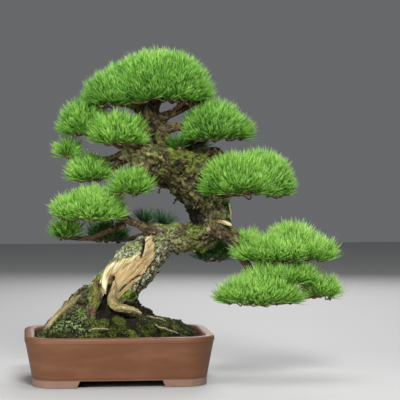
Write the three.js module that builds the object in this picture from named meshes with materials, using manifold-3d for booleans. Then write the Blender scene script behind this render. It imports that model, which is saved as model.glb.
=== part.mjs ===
// A pine bonsai in its pot: a fired clay pot on four corner feet, the soil with its drainage screens, a
// leaning trunk with surface roots and a dead-wood flank, separate branches, and the needle pads they carry.
// Millimetres, +Z up, the pot's long side along X, its front towards -Y.

import * as THREE from "three";
import { mergeVertices } from "three/addons/utils/BufferGeometryUtils.js";
import Module from "manifold-3d";

const wasm = await Module();
wasm.setup();

// ---- driving dimensions -------------------------------------------------------------------------------

const POT = { width: 400, depth: 312, corner: 72, height: 104, foot: 14, floor: 12, cornerSteps: 6 };
const FOOT_GAP = { frontTop: 172, frontBottom: 186, sideTop: 120, sideBottom: 134, inset: 16 };
const DRAIN = { offset: 88, radius: 20, sides: 20 };
const SCREEN = { side: 56, thick: 1.6, holes: 4, bar: 2.4, edge: 4 };
const CLIP = { radius: 1.1, half: 7.6, reach: 34 };
const GAP = 0.5;
const SMALLEST_DETAIL = 0.05;
const SOIL_TOP = 95;
const MOUND_FOOT = 88;

// Wall of the pot from its underside to the rim, and of its hollow from the floor up: [inset, height].
const OUTER_WALL = [[22, 14], [17, 16], [14.5, 22], [9, 52], [3, 86], [0.6, 95], [0, 99], [1.6, 102.4], [5, 104]];
const INNER_WALL = [[48, 26], [38, 28], [31, 36], [26, 66], [23, 94], [22, 100], [20, 102.8], [16.5, 104.2]];

// Mounds of soil round the trunk: centre x, y, half width, half depth, top height.
const MOUNDS = [
  [5, 0, 170, 118, 140],
  [-58, -4, 108, 96, 160],
];

// ---- solids -------------------------------------------------------------------------------------------

/** A closed three.js geometry as a manifold solid. */
function toSolid(geometry) {
  const bare = geometry.clone();
  bare.deleteAttribute("normal");
  bare.deleteAttribute("uv");
  const welded = mergeVertices(bare, 1e-4);
  const vertProperties = new Float32Array(welded.attributes.position.array);
  const triVerts = new Uint32Array(welded.index.array);
  return new wasm.Manifold(new wasm.Mesh({ numProp: 3, vertProperties, triVerts }));
}

/** A manifold solid as a three.js geometry. */
function toGeometry(solid) {
  const mesh = solid.getMesh();
  const geometry = new THREE.BufferGeometry();
  geometry.setAttribute("position", new THREE.BufferAttribute(new Float32Array(mesh.vertProperties), 3));
  geometry.setIndex(new THREE.BufferAttribute(new Uint32Array(mesh.triVerts), 1));
  geometry.computeVertexNormals();
  return geometry;
}

/** The largest separate body of a solid, without the crumbs and slivers a cut leaves beside it. */
function mainBody(solid) {
  const bodies = solid.simplify(SMALLEST_DETAIL).decompose();
  return bodies.reduce((best, body) => (body.volume() > best.volume() ? body : best));
}

/** The union of a list of solids. */
function unite(solids) {
  return solids.reduce((all, solid) => all.add(solid));
}

/** A solid lofted through rings of the same number of points, closed by a fan at each end. */
function loft(rings) {
  const count = rings[0].length;
  const points = rings.flat();
  const faces = [];
  rings.slice(1).forEach((_, level) => {
    for (let i = 0; i < count; i += 1) {
      const a = level * count + i;
      const b = level * count + ((i + 1) % count);
      faces.push(a, b, b + count, a, b + count, a + count);
    }
  });
  const middle = (ring) => ring.reduce((sum, p) => sum.add(p), new THREE.Vector3()).divideScalar(count);
  const bottom = points.push(middle(rings[0])) - 1;
  const top = points.push(middle(rings.at(-1))) - 1;
  const last = (rings.length - 1) * count;
  for (let i = 0; i < count; i += 1) {
    const j = (i + 1) % count;
    faces.push(bottom, j, i, top, last + i, last + j);
  }
  const geometry = new THREE.BufferGeometry().setFromPoints(points);
  geometry.setIndex(faces);
  return toSolid(geometry);
}

/** A box between two corners. */
function block(low, high) {
  const size = high.map((v, axis) => v - low[axis]);
  const geometry = new THREE.BoxGeometry(...size);
  geometry.translate(...high.map((v, axis) => (v + low[axis]) / 2));
  return toSolid(geometry);
}

/** An upright cylinder. */
function post(x, y, bottom, top, radius, sides) {
  const geometry = new THREE.CylinderGeometry(radius, radius, top - bottom, sides);
  geometry.rotateX(Math.PI / 2);
  geometry.translate(x, y, (top + bottom) / 2);
  return toSolid(geometry);
}

/** A limb of wood through stations [x, y, z, radius], with rounded ends; `grow` thickens it all round. */
function limb(stations, { sides = 5, steps = 2, ridge = 0, grow = 0 } = {}) {
  const curve = new THREE.CatmullRomCurve3(stations.map(([x, y, z]) => new THREE.Vector3(x, y, z)));
  const count = (stations.length - 1) * steps;
  const side = new THREE.Vector3(0, 1, 0);
  const rings = [];
  const ring = (centre, tangent, radius, t) => {
    side.addScaledVector(tangent, -side.dot(tangent)).normalize();
    const other = new THREE.Vector3().crossVectors(tangent, side);
    const points = [];
    for (let i = 0; i < sides; i += 1) {
      const a = (i / sides) * 2 * Math.PI;
      const lobes = 1 + ridge * (Math.cos(3 * a + 5 * t) + 0.7 * Math.cos(5 * a - 8 * t));
      const reach = radius * lobes + grow;
      const point = centre.clone().addScaledVector(side, Math.cos(a) * reach);
      points.push(point.addScaledVector(other, Math.sin(a) * reach));
    }
    rings.push(points);
  };
  for (let k = 0; k <= count; k += 1) {
    const t = k / count;
    const place = t * (stations.length - 1);
    const i = Math.min(Math.floor(place), stations.length - 2);
    const radius = THREE.MathUtils.lerp(stations[i][3], stations[i + 1][3], place - i);
    const centre = curve.getPoint(t);
    const tangent = curve.getTangent(t);
    const cap = radius * 0.45 + grow;
    if (k === 0) ring(centre.clone().addScaledVector(tangent, -cap), tangent, radius * 0.6, t);
    ring(centre, tangent, radius, t);
    if (k === count) ring(centre.clone().addScaledVector(tangent, cap), tangent, radius * 0.6, t);
  }
  return loft(rings);
}

// ---- pot ----------------------------------------------------------------------------------------------

/** The outline of the pot at a height, drawn in by `inset` all round. */
function potRing(inset, height) {
  const radius = POT.corner - inset;
  const points = [];
  for (let corner = 0; corner < 4; corner += 1) {
    const signX = corner === 0 || corner === 3 ? 1 : -1;
    const signY = corner < 2 ? 1 : -1;
    for (let step = 0; step <= POT.cornerSteps; step += 1) {
      const a = ((corner + step / POT.cornerSteps) * Math.PI) / 2;
      const x = signX * (POT.width / 2 - POT.corner) + Math.cos(a) * radius;
      const y = signY * (POT.depth / 2 - POT.corner) + Math.sin(a) * radius;
      points.push(new THREE.Vector3(x, y, height));
    }
  }
  return points;
}

/** A bar with a trapezoid section, narrower at the top, along X or Y. */
function archBar(top, bottom, length, alongX) {
  const shape = new THREE.Shape();
  shape.moveTo(-bottom / 2, -1);
  shape.lineTo(bottom / 2, -1);
  shape.lineTo(top / 2, POT.foot);
  shape.lineTo(-top / 2, POT.foot);
  shape.closePath();
  const geometry = new THREE.ExtrudeGeometry(shape, { depth: length, bevelEnabled: false });
  geometry.translate(0, 0, -length / 2);
  geometry.rotateX(Math.PI / 2);
  if (alongX) geometry.rotateZ(Math.PI / 2);
  return toSolid(geometry);
}

/** The pot: walls, floor and four corner feet in one fired piece, with two drain holes. */
function makePot() {
  const walls = loft(OUTER_WALL.map(([inset, height]) => potRing(inset, height)));
  const hollow = loft(INNER_WALL.map(([inset, height]) => potRing(inset, height)));
  const feet = loft([potRing(FOOT_GAP.inset + 1, 0), potRing(FOOT_GAP.inset, 2), potRing(FOOT_GAP.inset, 20)])
    .subtract(loft([potRing(46, -1), potRing(46, POT.foot)]))
    .subtract(archBar(FOOT_GAP.frontTop, FOOT_GAP.frontBottom, POT.depth + 20, false))
    .subtract(archBar(FOOT_GAP.sideTop, FOOT_GAP.sideBottom, POT.width + 20, true));
  const drains = [-1, 1].map((side) => post(side * DRAIN.offset, 0, 0, 40, DRAIN.radius, DRAIN.sides));
  return walls.add(feet).subtract(hollow).subtract(unite(drains));
}

// ---- drainage -----------------------------------------------------------------------------------------

const FLOOR_TOP = POT.foot + POT.floor;
const SCREEN_PITCH = (SCREEN.side - 2 * SCREEN.edge + SCREEN.bar) / SCREEN.holes;

/** A square plastic screen with a grid of openings, lying over a drain hole. */
function makeScreen(side) {
  const half = SCREEN.side / 2;
  const opening = SCREEN_PITCH - SCREEN.bar;
  const bottom = FLOOR_TOP + GAP;
  const openings = [];
  for (let i = 0; i < SCREEN.holes; i += 1) {
    for (let j = 0; j < SCREEN.holes; j += 1) {
      const x = side * DRAIN.offset - half + SCREEN.edge + i * SCREEN_PITCH;
      const y = -half + SCREEN.edge + j * SCREEN_PITCH;
      openings.push(block([x, y, bottom - 1], [x + opening, y + opening, bottom + SCREEN.thick + 1]));
    }
  }
  const x = side * DRAIN.offset;
  const plate = block([x - half, -half, bottom], [x + half, half, bottom + SCREEN.thick]);
  return plate.subtract(unite(openings));
}

/** The bent wire that pins a screen: over the screen, down through the drain hole, out under the floor. */
function makeClip(side) {
  const over = FLOOR_TOP + SCREEN.thick + 2 * GAP + CLIP.radius;
  const under = POT.foot - GAP - CLIP.radius;
  const lane = SCREEN_PITCH / 2;
  const x = side * DRAIN.offset;
  const half = SCREEN_PITCH + CLIP.half - 5;
  const wire = [
    [x - CLIP.reach, lane, under],
    [x - half, lane, under],
    [x - half, lane, over],
    [x + half, lane, over],
    [x + half, lane, under],
    [x + CLIP.reach, lane, under],
  ];
  const runs = wire.slice(1).map((end, i) => [[...wire[i], CLIP.radius], [...end, CLIP.radius]]);
  return unite(runs.map((run) => limb(run, { sides: 8, steps: 1 })));
}

// ---- trunk and roots ----------------------------------------------------------------------------------

const TRUNK = [
  [-54, 5, 112, 56], [-38, 5, 149, 54], [-12, 2, 185, 50], [16, 0, 218, 47], [36, 0, 242, 49], [59, 2, 265, 43],
  [81, 4, 289, 39], [113, 8, 300, 31], [152, 12, 304, 32], [189, 14, 317, 37], [202, 14, 350, 42],
  [199, 12, 380, 44], [184, 8, 408, 49], [158, 3, 437, 54], [124, -2, 459, 54], [92, -5, 473, 49],
  [60, -6, 482, 39], [34, -6, 489, 27], [18, -6, 492, 17],
];
const LEADER = [
  [104, -2, 476, 34], [84, -4, 508, 31], [80, -4, 536, 26], [84, -2, 560, 21], [78, 0, 586, 18], [82, 0, 624, 9],
];
const ROOTS = [
  [[-40, 0, 172, 36], [-72, -12, 164, 29], [-104, -26, 146, 22], [-134, -38, 124, 15], [-154, -46, 104, 10]],
  [[-40, -28, 190, 24], [-52, -46, 158, 19], [-62, -62, 128, 15], [-70, -74, 104, 10]],
  [[0, 8, 176, 34], [34, 26, 146, 22], [72, 42, 124, 15], [104, 56, 104, 9]],
  [[-50, 26, 176, 34], [-62, 56, 146, 24], [-74, 84, 116, 16], [-80, 100, 98, 10]],
];
const DEAD_WOOD = [
  [[8, -30, 250, 18], [-8, -38, 232, 16], [-12, -50, 203, 13], [-6, -60, 172, 12], [12, -64, 153, 11],
    [34, -60, 148, 9], [54, -54, 141, 7]],
  [[-18, -26, 240, 12], [-29, -38, 210, 8], [-30, -46, 178, 5]],
];
const SNAGS = [
  [[170, -22, 412, 6], [158, -30, 401, 3.5], [146, -32, 388, 2]],
  [[214, -22, 342, 9], [230, -32, 336, 7], [242, -36, 334, 5]],
];

/** The trunk: main stem, leader, surface roots, dead wood and snags, all grown together. */
function makeTrunk(grow = 0) {
  return unite([
    limb(TRUNK, { sides: 12, ridge: 0.045, grow }),
    limb(LEADER, { sides: 10, ridge: 0.045, grow }),
    ...ROOTS.map((root) => limb(root, { sides: 8, steps: 1, ridge: 0.05, grow })),
    ...DEAD_WOOD.map((leg) => limb(leg, { sides: 6, steps: 1, grow })),
    ...SNAGS.map((snag) => limb(snag, { sides: 6, steps: 1, grow })),
  ]);
}

// ---- branches: a main run and its forks, each through stations [x, y, z, radius] ------------------------

const BRANCHES = {
  branch_crown_left: [
    [[74, -2, 566, 15], [48, -2, 586, 12], [10, 0, 598, 9], [-42, 2, 602, 5]],
    [[22, -2, 595, 7], [6, -30, 602, 5], [-14, -52, 606, 4]],
  ],
  branch_crown_right: [
    [[78, -6, 558, 13], [108, -12, 570, 10], [148, -14, 588, 8], [186, -12, 612, 5]],
    [[120, -13, 576, 7], [136, -44, 594, 5], [150, -62, 608, 4]],
  ],
  branch_crown_back: [[[78, 4, 574, 11], [88, 34, 594, 8], [104, 66, 612, 5]]],
  branch_upper_left: [
    [[30, -5, 497, 13], [0, -2, 508, 10], [-38, 6, 524, 7], [-92, 12, 538, 4]],
  ],
  branch_upper_left_front: [[[44, -22, 498, 10], [26, -48, 506, 8], [0, -62, 514, 6], [-30, -62, 520, 4]]],
  branch_left_small: [[[14, 4, 486, 9], [-22, 12, 474, 7], [-70, 15, 478, 5], [-124, 15, 488, 3.5]]],
  branch_left_mid: [[[24, 6, 480, 11], [-6, 18, 458, 8], [-42, 28, 434, 6], [-92, 30, 434, 4]]],
  branch_left_mid_front: [
    [[70, -32, 470, 10], [54, -50, 440, 8], [32, -56, 410, 6], [-4, -54, 402, 4]],
  ],
  branch_left_lower: [
    [[78, -18, 318, 12], [38, -22, 336, 9], [4, -24, 350, 8], [-46, -26, 356, 6], [-116, -26, 358, 4]],
    [[-20, -25, 353, 6], [-44, -50, 356, 5], [-70, -62, 360, 4]],
  ],
  branch_left_lowest: [[[14, -6, 334, 8], [-26, 0, 318, 7], [-58, 6, 304, 6], [-128, 10, 306, 3.5]]],
  branch_left_back: [[[104, 34, 318, 9], [66, 60, 308, 7], [20, 73, 298, 5], [-30, 75, 298, 3.5]]],
  branch_left_inner: [[[116, 32, 326, 7], [92, 44, 328, 5], [56, 50, 330, 4]]],
  branch_right_upper: [
    [[92, -10, 536, 13], [124, -16, 545, 10], [152, -22, 540, 8], [186, -26, 522, 7], [268, -26, 526, 4]],
    [[196, -26, 522, 5], [214, -52, 524, 4], [226, -72, 528, 3.5]],
  ],
  branch_right_mid: [
    [[212, -18, 398, 12], [244, -40, 398, 8], [292, -50, 402, 6], [354, -50, 408, 4]],
    [[256, -44, 399, 6], [272, -76, 404, 5], [286, -98, 408, 3.5]],
  ],
  branch_right_mid_upper: [
    [[168, 0, 484, 18], [206, -4, 489, 14], [232, -14, 470, 10], [262, -18, 432, 7], [330, -16, 424, 4]],
  ],
  branch_right_low: [
    [[206, 4, 322, 18], [236, -2, 300, 13], [262, -12, 268, 10], [322, -22, 258, 7], [436, -25, 264, 4]],
    [[330, -22, 258, 6], [356, -56, 262, 5], [378, -82, 266, 3.5]],
    [[352, -23, 259, 6], [378, 8, 264, 5], [396, 30, 268, 3.5]],
  ],
  branch_right_lowest: [
    [[268, -16, 262, 9], [284, -40, 232, 8], [276, -62, 190, 7], [292, -70, 168, 6], [366, -66, 168, 4]],
    [[284, -66, 180, 5], [316, -36, 196, 5], [352, -10, 206, 3.5]],
    [[330, -68, 168, 5], [392, -54, 176, 4.5], [458, -46, 182, 3.5]],
  ],
  branch_back_low: [[[194, 38, 316, 10], [208, 62, 284, 7], [222, 72, 254, 4]]],
  branch_back_mid: [[[132, 34, 458, 12], [132, 74, 440, 9], [134, 124, 444, 5]]],
  branch_back_upper: [[[128, 30, 482, 9], [152, 56, 494, 7], [176, 80, 504, 4]]],
};

/** One branch with its forks. */
function makeBranch(runs, grow = 0) {
  return unite(runs.map((run) => limb(run, { grow })));
}

// ---- needle pads: lobes [centre x, y, underside height, half width, half depth, height above it] ---------

const PADS = {
  pad_crown: [[116, -8, 604, 98, 98, 113], [60, 10, 600, 90, 84, 84], [134, 34, 602, 80, 84, 96]],
  pad_crown_left: [[-12, 0, 592, 74, 80, 92]],
  pad_upper_left: [[-74, 12, 528, 58, 64, 68]],
  pad_upper_left_front: [[-2, -62, 508, 62, 50, 76]],
  pad_left_small: [[-114, 16, 478, 33, 42, 48]],
  pad_left_mid: [[-70, 30, 428, 52, 56, 58]],
  pad_left_mid_front: [[26, -60, 402, 54, 46, 71]],
  pad_left_lower: [[-46, -28, 346, 70, 70, 79], [-102, -26, 348, 48, 54, 54]],
  pad_left_lowest: [[-112, 10, 304, 42, 46, 48]],
  pad_left_back: [[-18, 76, 294, 54, 46, 50]],
  pad_left_inner: [[74, 52, 328, 46, 31, 46]],
  pad_right_upper: [[218, -26, 516, 86, 76, 95]],
  pad_right_mid: [[262, -50, 400, 94, 78, 80], [312, -22, 402, 76, 72, 108]],
  pad_right_low: [[364, -25, 258, 122, 86, 66], [388, -24, 260, 76, 66, 89]],
  pad_right_lowest: [[292, -70, 164, 98, 70, 70]],
  pad_right_lowest_back: [[352, -12, 200, 86, 62, 62]],
  pad_right_lowest_tip: [[446, -46, 178, 49, 46, 50]],
  pad_back_low: [[224, 76, 250, 46, 46, 52]],
  pad_back_mid: [[134, 116, 436, 66, 46, 72]],
  pad_back_upper: [[178, 84, 500, 42, 42, 46]],
};
const LOBE = { around: 12, rings: 6, underside: 11, scallop: 0.035, scallops: 7, edge: 0.8 };

/** One lobe of foliage: a dome with a scalloped edge and a shallow rounded underside. */
function makeLobe([x, y, z, halfX, halfY, height], grow) {
  const geometry = new THREE.SphereGeometry(1, LOBE.around, LOBE.rings);
  geometry.rotateX(Math.PI / 2);
  geometry.deleteAttribute("normal");
  geometry.deleteAttribute("uv");
  const welded = mergeVertices(geometry, 1e-4);
  const place = welded.attributes.position;
  for (let i = 0; i < place.count; i += 1) {
    const across = Math.hypot(place.getX(i), place.getY(i));
    const angle = Math.atan2(place.getY(i), place.getX(i));
    const spread = across > 0.01 ? across ** LOBE.edge / across : 1;
    const reach = spread * (1 + LOBE.scallop * Math.cos(LOBE.scallops * angle + x));
    const up = place.getZ(i) > 0 ? height : LOBE.underside;
    place.setXYZ(
      i,
      x + place.getX(i) * (halfX * reach + grow),
      y + place.getY(i) * (halfY * reach + grow),
      z + place.getZ(i) * (up + grow),
    );
  }
  return toSolid(welded);
}

/** One pad of needles, made of its lobes. */
function makePad(lobes, grow = 0) {
  return unite(lobes.map((lobe) => makeLobe(lobe, grow)));
}

// ---- soil and what lies on it ---------------------------------------------------------------------------

const MOSS = {
  moss_front: [[-8, -92, 88, 52, 26, 38]],
  moss_right: [[66, -78, 96, 46, 30, 36]],
  moss_left: [[-112, -66, 92, 42, 30, 42]],
  moss_far_right: [[128, 24, 88, 32, 48, 34]],
  moss_back: [[20, 92, 88, 84, 28, 34]],
};
const STRAY_ROOTS = {
  stray_root_front_left: [[[-66, -106, 118, 3], [-46, -112, 122, 3], [-22, -114, 124, 2.4]]],
  stray_root_front_right: [[[72, -106, 128, 2.6], [94, -108, 118, 2.6], [122, -106, 112, 2]]],
  stray_root_right: [[[62, -40, 142, 3], [82, -46, 138, 3], [100, -50, 132, 2.2]]],
};

/** The body of soil: the filled hollow of the pot with its mounds, before anything is let into it. */
function makeGround(grow = 0) {
  const filled = INNER_WALL.filter(([, height]) => height < SOIL_TOP);
  const rings = filled.map(([inset, height], i) => potRing(inset + GAP - grow, height + (i ? 0 : GAP)));
  const topInset = filled.at(-1)[0] + GAP - grow;
  rings.push(potRing(topInset, SOIL_TOP + grow));
  const domes = MOUNDS.map(([x, y, halfX, halfY, top]) => {
    const geometry = new THREE.SphereGeometry(1, 16, 8);
    geometry.rotateX(Math.PI / 2);
    geometry.scale(halfX + grow, halfY + grow, top - MOUND_FOOT + grow);
    geometry.translate(x, y, MOUND_FOOT);
    return toSolid(geometry);
  });
  const above = block([-POT.width, -POT.depth, MOUND_FOOT - 8], [POT.width, POT.depth, 2 * POT.height]);
  return loft(rings).add(unite(domes).intersect(above));
}

/** The soil, cut round the trunk's base and the drainage screens. */
function makeSoil(trunkHole) {
  const top = FLOOR_TOP + SCREEN.thick + 2 * CLIP.radius + 4 * GAP;
  const half = SCREEN.side / 2 + 1;
  const recesses = [-1, 1].map((side) => {
    const x = side * DRAIN.offset;
    return block([x - half, -half, 0], [x + half, half, top]);
  });
  return makeGround().subtract(trunkHole).subtract(unite(recesses));
}

// ---- assembly -------------------------------------------------------------------------------------------

const FINISHES = {
  clay: { color: 0x7d5541, roughness: 0.62, metalness: 0 },
  soil: { color: 0x2c241b, roughness: 0.95, metalness: 0 },
  moss: { color: 0x55701f, roughness: 0.95, metalness: 0 },
  screen_plastic: { color: 0x1c1c1c, roughness: 0.6, metalness: 0 },
  wire: { color: 0xb4a08a, roughness: 0.35, metalness: 1 },
  bark: { color: 0x6a5a3c, roughness: 0.9, metalness: 0 },
  twig_bark: { color: 0x5b4433, roughness: 0.9, metalness: 0 },
  needles: { color: 0x5fae2e, roughness: 0.55, metalness: 0 },
};

const materials = Object.fromEntries(
  Object.entries(FINISHES).map(([name, finish]) => [name, new THREE.MeshStandardMaterial(finish)]),
);

const group = new THREE.Group();
group.name = "pine_bonsai";
const plant = new THREE.Group();
plant.name = "plant";
group.add(plant);

/** Adds one named body to the plant. */
function place(name, solid, finish) {
  const mesh = new THREE.Mesh(toGeometry(mainBody(solid)), materials[finish]);
  mesh.name = name;
  plant.add(mesh);
}

place("pot", makePot(), "clay");
[["left", -1], ["right", 1]].forEach(([name, side]) => {
  place(`drain_screen_${name}`, makeScreen(side), "screen_plastic");
  place(`screen_clip_${name}`, makeClip(side), "wire");
});

place("trunk", makeTrunk(), "bark");
let wood = makeTrunk(GAP);
place("soil", makeSoil(wood), "soil");

const ground = makeGround(GAP);
let cover = ground.add(wood);
Object.entries(MOSS).forEach(([name, lobes]) => {
  place(name, makePad(lobes).subtract(cover), "moss");
  cover = cover.add(makePad(lobes, GAP));
});
Object.entries(STRAY_ROOTS).forEach(([name, runs]) => {
  place(name, makeBranch(runs).subtract(cover), "twig_bark");
});

Object.entries(BRANCHES).forEach(([name, runs]) => {
  place(name, makeBranch(runs).subtract(wood), "twig_bark");
  wood = wood.add(makeBranch(runs, GAP));
});

let taken = wood;
Object.entries(PADS).forEach(([name, lobes]) => {
  place(name, makePad(lobes).subtract(taken), "needles");
  taken = taken.add(makePad(lobes, GAP));
});

// The origin is the middle of the whole plant's footprint, on the ground.
const extent = new THREE.Box3().setFromObject(group);
const middle = extent.getCenter(new THREE.Vector3());
plant.position.set(-middle.x, -middle.y, -extent.min.z);
group.updateMatrixWorld(true);

export default group;
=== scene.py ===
"""The looks of a potted pine bonsai: pot, soil, moss, trunk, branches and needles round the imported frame."""

import logging
import math
from dataclasses import dataclass, field
from enum import Enum
from typing import Callable

import bmesh
import bpy
import numpy as np
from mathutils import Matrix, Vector, noise


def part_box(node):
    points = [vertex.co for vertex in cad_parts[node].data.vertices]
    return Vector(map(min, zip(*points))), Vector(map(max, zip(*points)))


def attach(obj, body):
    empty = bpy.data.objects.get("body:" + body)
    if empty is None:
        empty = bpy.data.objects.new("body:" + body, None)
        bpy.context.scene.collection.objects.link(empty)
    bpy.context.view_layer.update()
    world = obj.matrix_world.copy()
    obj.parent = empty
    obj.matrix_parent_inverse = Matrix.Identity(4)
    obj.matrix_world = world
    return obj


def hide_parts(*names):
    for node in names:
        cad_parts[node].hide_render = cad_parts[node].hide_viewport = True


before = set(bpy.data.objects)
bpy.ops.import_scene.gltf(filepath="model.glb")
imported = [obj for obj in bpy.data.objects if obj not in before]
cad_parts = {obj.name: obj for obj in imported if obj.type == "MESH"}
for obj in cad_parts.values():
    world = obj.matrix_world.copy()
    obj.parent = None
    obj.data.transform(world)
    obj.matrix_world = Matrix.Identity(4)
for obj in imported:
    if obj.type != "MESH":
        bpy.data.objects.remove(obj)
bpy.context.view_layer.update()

LOG = logging.getLogger("bonsai")
MM = 0.001
MAP_NAME = "OFBake"
THIRD_TURN = 2.094
Colour = tuple[float, float, float]
Station = tuple[float, float, float, float]
Point = tuple[float, float]
Table = tuple[float, ...]
Output = bpy.types.NodeSocket
Feed = Output | float | tuple[float, ...]
Piece = bpy.types.Object
Material = bpy.types.Material


def pot_centre() -> np.ndarray:
    """The middle of the pot on the ground, which every tree size is measured from."""
    low, high = (np.array(corner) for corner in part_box("pot"))
    return np.array([(low[0] + high[0]) / 2, (low[1] + high[1]) / 2, low[2]])


ORIGIN = pot_centre()


def spot(x: float, y: float, z: float) -> np.ndarray:
    """A place in millimetres from the pot's middle, as metres in the frame."""
    return ORIGIN + np.array([x, y, z]) * MM


# ---- node sheets ----------------------------------------------------------------------------------------


class Sheet:
    """A material under construction: one Principled shader and the patterns that feed it."""

    def __init__(self, name: str, roughness: float, specular: float = 0.5) -> None:
        """Starts a material with its plain roughness and specular level."""
        self.material = bpy.data.materials.new(name)
        self.material.use_nodes = True
        self.tree = self.material.node_tree
        self.shader = self.tree.nodes["Principled BSDF"]
        self.shader.inputs["Roughness"].default_value = roughness
        self.shader.inputs["Specular IOR Level"].default_value = specular
        self.coords = self.tree.nodes.new("ShaderNodeTexCoord").outputs

    def wire(self, source: Feed, target: Output) -> None:
        """Links an output to an input, or sets the input to a plain value."""
        if isinstance(source, Output):
            self.tree.links.new(source, target)
        else:
            target.default_value = (*source, 1) if target.type == "RGBA" else source

    def node(self, kind: str, feeds: dict[str | int, Feed], **settings: object) -> bpy.types.Node:
        """Adds a node.

        Args:
            kind: The node type after "ShaderNode".
            feeds: What each input gets.
            **settings: Attributes to set on it.

        Returns:
            The new node.
        """
        made = self.tree.nodes.new("ShaderNode" + kind)
        for key, value in settings.items():
            setattr(made, key, value)
        for key, source in feeds.items():
            self.wire(source, made.inputs[key])
        return made

    def place(self, stretch: tuple[float, float, float], source: Output | None = None) -> Output:
        """Pattern coordinates in metres stretched per axis, from a vector or from Object coordinates."""
        feeds = {"Vector": source or self.coords["Object"], "Scale": stretch}
        return self.node("Mapping", feeds).outputs["Vector"]

    def axes(self, vector: Output) -> tuple[Output, ...]:
        """The three numbers of a vector."""
        return tuple(self.node("SeparateXYZ", {0: vector}).outputs)

    def attribute(self, name: str, kind: str = "Fac") -> Output:
        """Reads a mesh attribute as a number, or as a vector."""
        return self.node("Attribute", {}, attribute_name=name).outputs[kind]

    def noise(
        self, size: float, detail: float = 4.0, rough: float = 0.55, where: Output | None = None
    ) -> Output:
        """Cloudy noise.

        Args:
            size: Width of one patch in metres.
            detail: Octaves.
            rough: How strong the small octaves are.
            where: A vector output, or None for Object coordinates.

        Returns:
            The factor output.
        """
        feeds = {"Scale": 1 / size, "Detail": detail, "Roughness": rough}
        return self.node("TexNoise", feeds | {"Vector": where or self.coords["Object"]}).outputs["Fac"]

    def cells(self, size: float) -> Output:
        """Distance from the middles of cells of a size in metres."""
        feeds = {"Vector": self.coords["Object"], "Scale": 1 / size}
        return self.node("TexVoronoi", feeds, feature="F1").outputs["Distance"]

    def ramp(self, factor: Output, *stops: tuple[float, Colour], blend: str = "LINEAR") -> Output:
        """Colours along a factor.

        Args:
            factor: The factor output.
            *stops: Position and colour of each stop, lowest first.
            blend: How the colours run into each other.

        Returns:
            The colour output.
        """
        made = self.node("ValToRGB", {"Fac": factor})
        made.color_ramp.interpolation = blend
        elements = made.color_ramp.elements
        while len(elements) < len(stops):
            elements.new(0.5)
        for element, (position, colour) in zip(elements, stops):
            element.position = position
            element.color = (*colour, 1)
        return made.outputs["Color"]

    def limit(self, factor: Output, low: float, high: float) -> Output:
        """A smooth step of a factor from 0 at low to 1 at high."""
        feeds = {"Value": factor, "From Min": low, "From Max": high}
        return self.node("MapRange", feeds, interpolation_type="SMOOTHSTEP").outputs["Result"]

    def times(self, first: Feed, second: Feed) -> Output:
        """The product of two numbers."""
        return self.node("Math", {0: first, 1: second}, operation="MULTIPLY").outputs[0]

    def scaled(self, factor: Output, share: float, start: float) -> Output:
        """A number scaled and moved up from a start."""
        return self.node("Math", {0: self.times(factor, share), 1: start}, operation="ADD").outputs[0]

    def patches(self, name: str, pattern: Output, low: float, high: float) -> Output:
        """A mesh attribute broken up by a pattern's smooth step."""
        return self.times(self.attribute(name), self.limit(pattern, low, high))

    def mix(self, factor: Feed, first: Feed, second: Feed) -> Output:
        """Blends two colours, by how much of the second there is."""
        return self.node("Mix", {0: factor, 6: first, 7: second}, data_type="RGBA").outputs[2]

    def bump(self, height: Output, distance: float, strength: float, under: Output | None = None) -> Output:
        """Bump from a height.

        Args:
            height: The height output, 0 to 1.
            distance: Metres between 0 and 1.
            strength: Strength.
            under: Another bump's normal to add to.

        Returns:
            The normal output.
        """
        feeds = {"Height": height, "Distance": distance, "Strength": strength}
        return self.node("Bump", feeds | ({"Normal": under} if under else {})).outputs["Normal"]

    def finish(self, colour: Feed, rough: Output | None = None, normal: Output | None = None) -> Material:
        """Wires the patterns to the shader and gives the material."""
        for source, name in ((colour, "Base Color"), (rough, "Roughness"), (normal, "Normal")):
            if source is not None:
                self.wire(source, self.shader.inputs[name])
        return self.material


# ---- finishes -------------------------------------------------------------------------------------------


@dataclass(frozen=True)
class PlainFinish:
    """A finish whose colours follow one cloudy pattern, given as patch width, octaves and their strength."""

    name: str
    roughness: float
    pattern: tuple[float, ...]
    colours: tuple[tuple[float, Colour], ...]
    specular: float = 0.5
    metallic: float = 0.0
    relief: tuple[float, ...] = ()
    rise: tuple[float, float] = (0.001, 0.6)
    polish: tuple[float, float] | None = None
    blend: str = "LINEAR"

    def material(self) -> Material:
        """Makes the material."""
        sheet = Sheet(self.name, self.roughness, self.specular)
        sheet.shader.inputs["Metallic"].default_value = self.metallic
        cloud = sheet.noise(*self.pattern)
        rough = sheet.scaled(cloud, *self.polish) if self.polish else None
        normal = sheet.bump(sheet.noise(*self.relief), *self.rise) if self.relief else None
        return sheet.finish(sheet.ramp(cloud, *self.colours, blend=self.blend), rough, normal)


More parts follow.
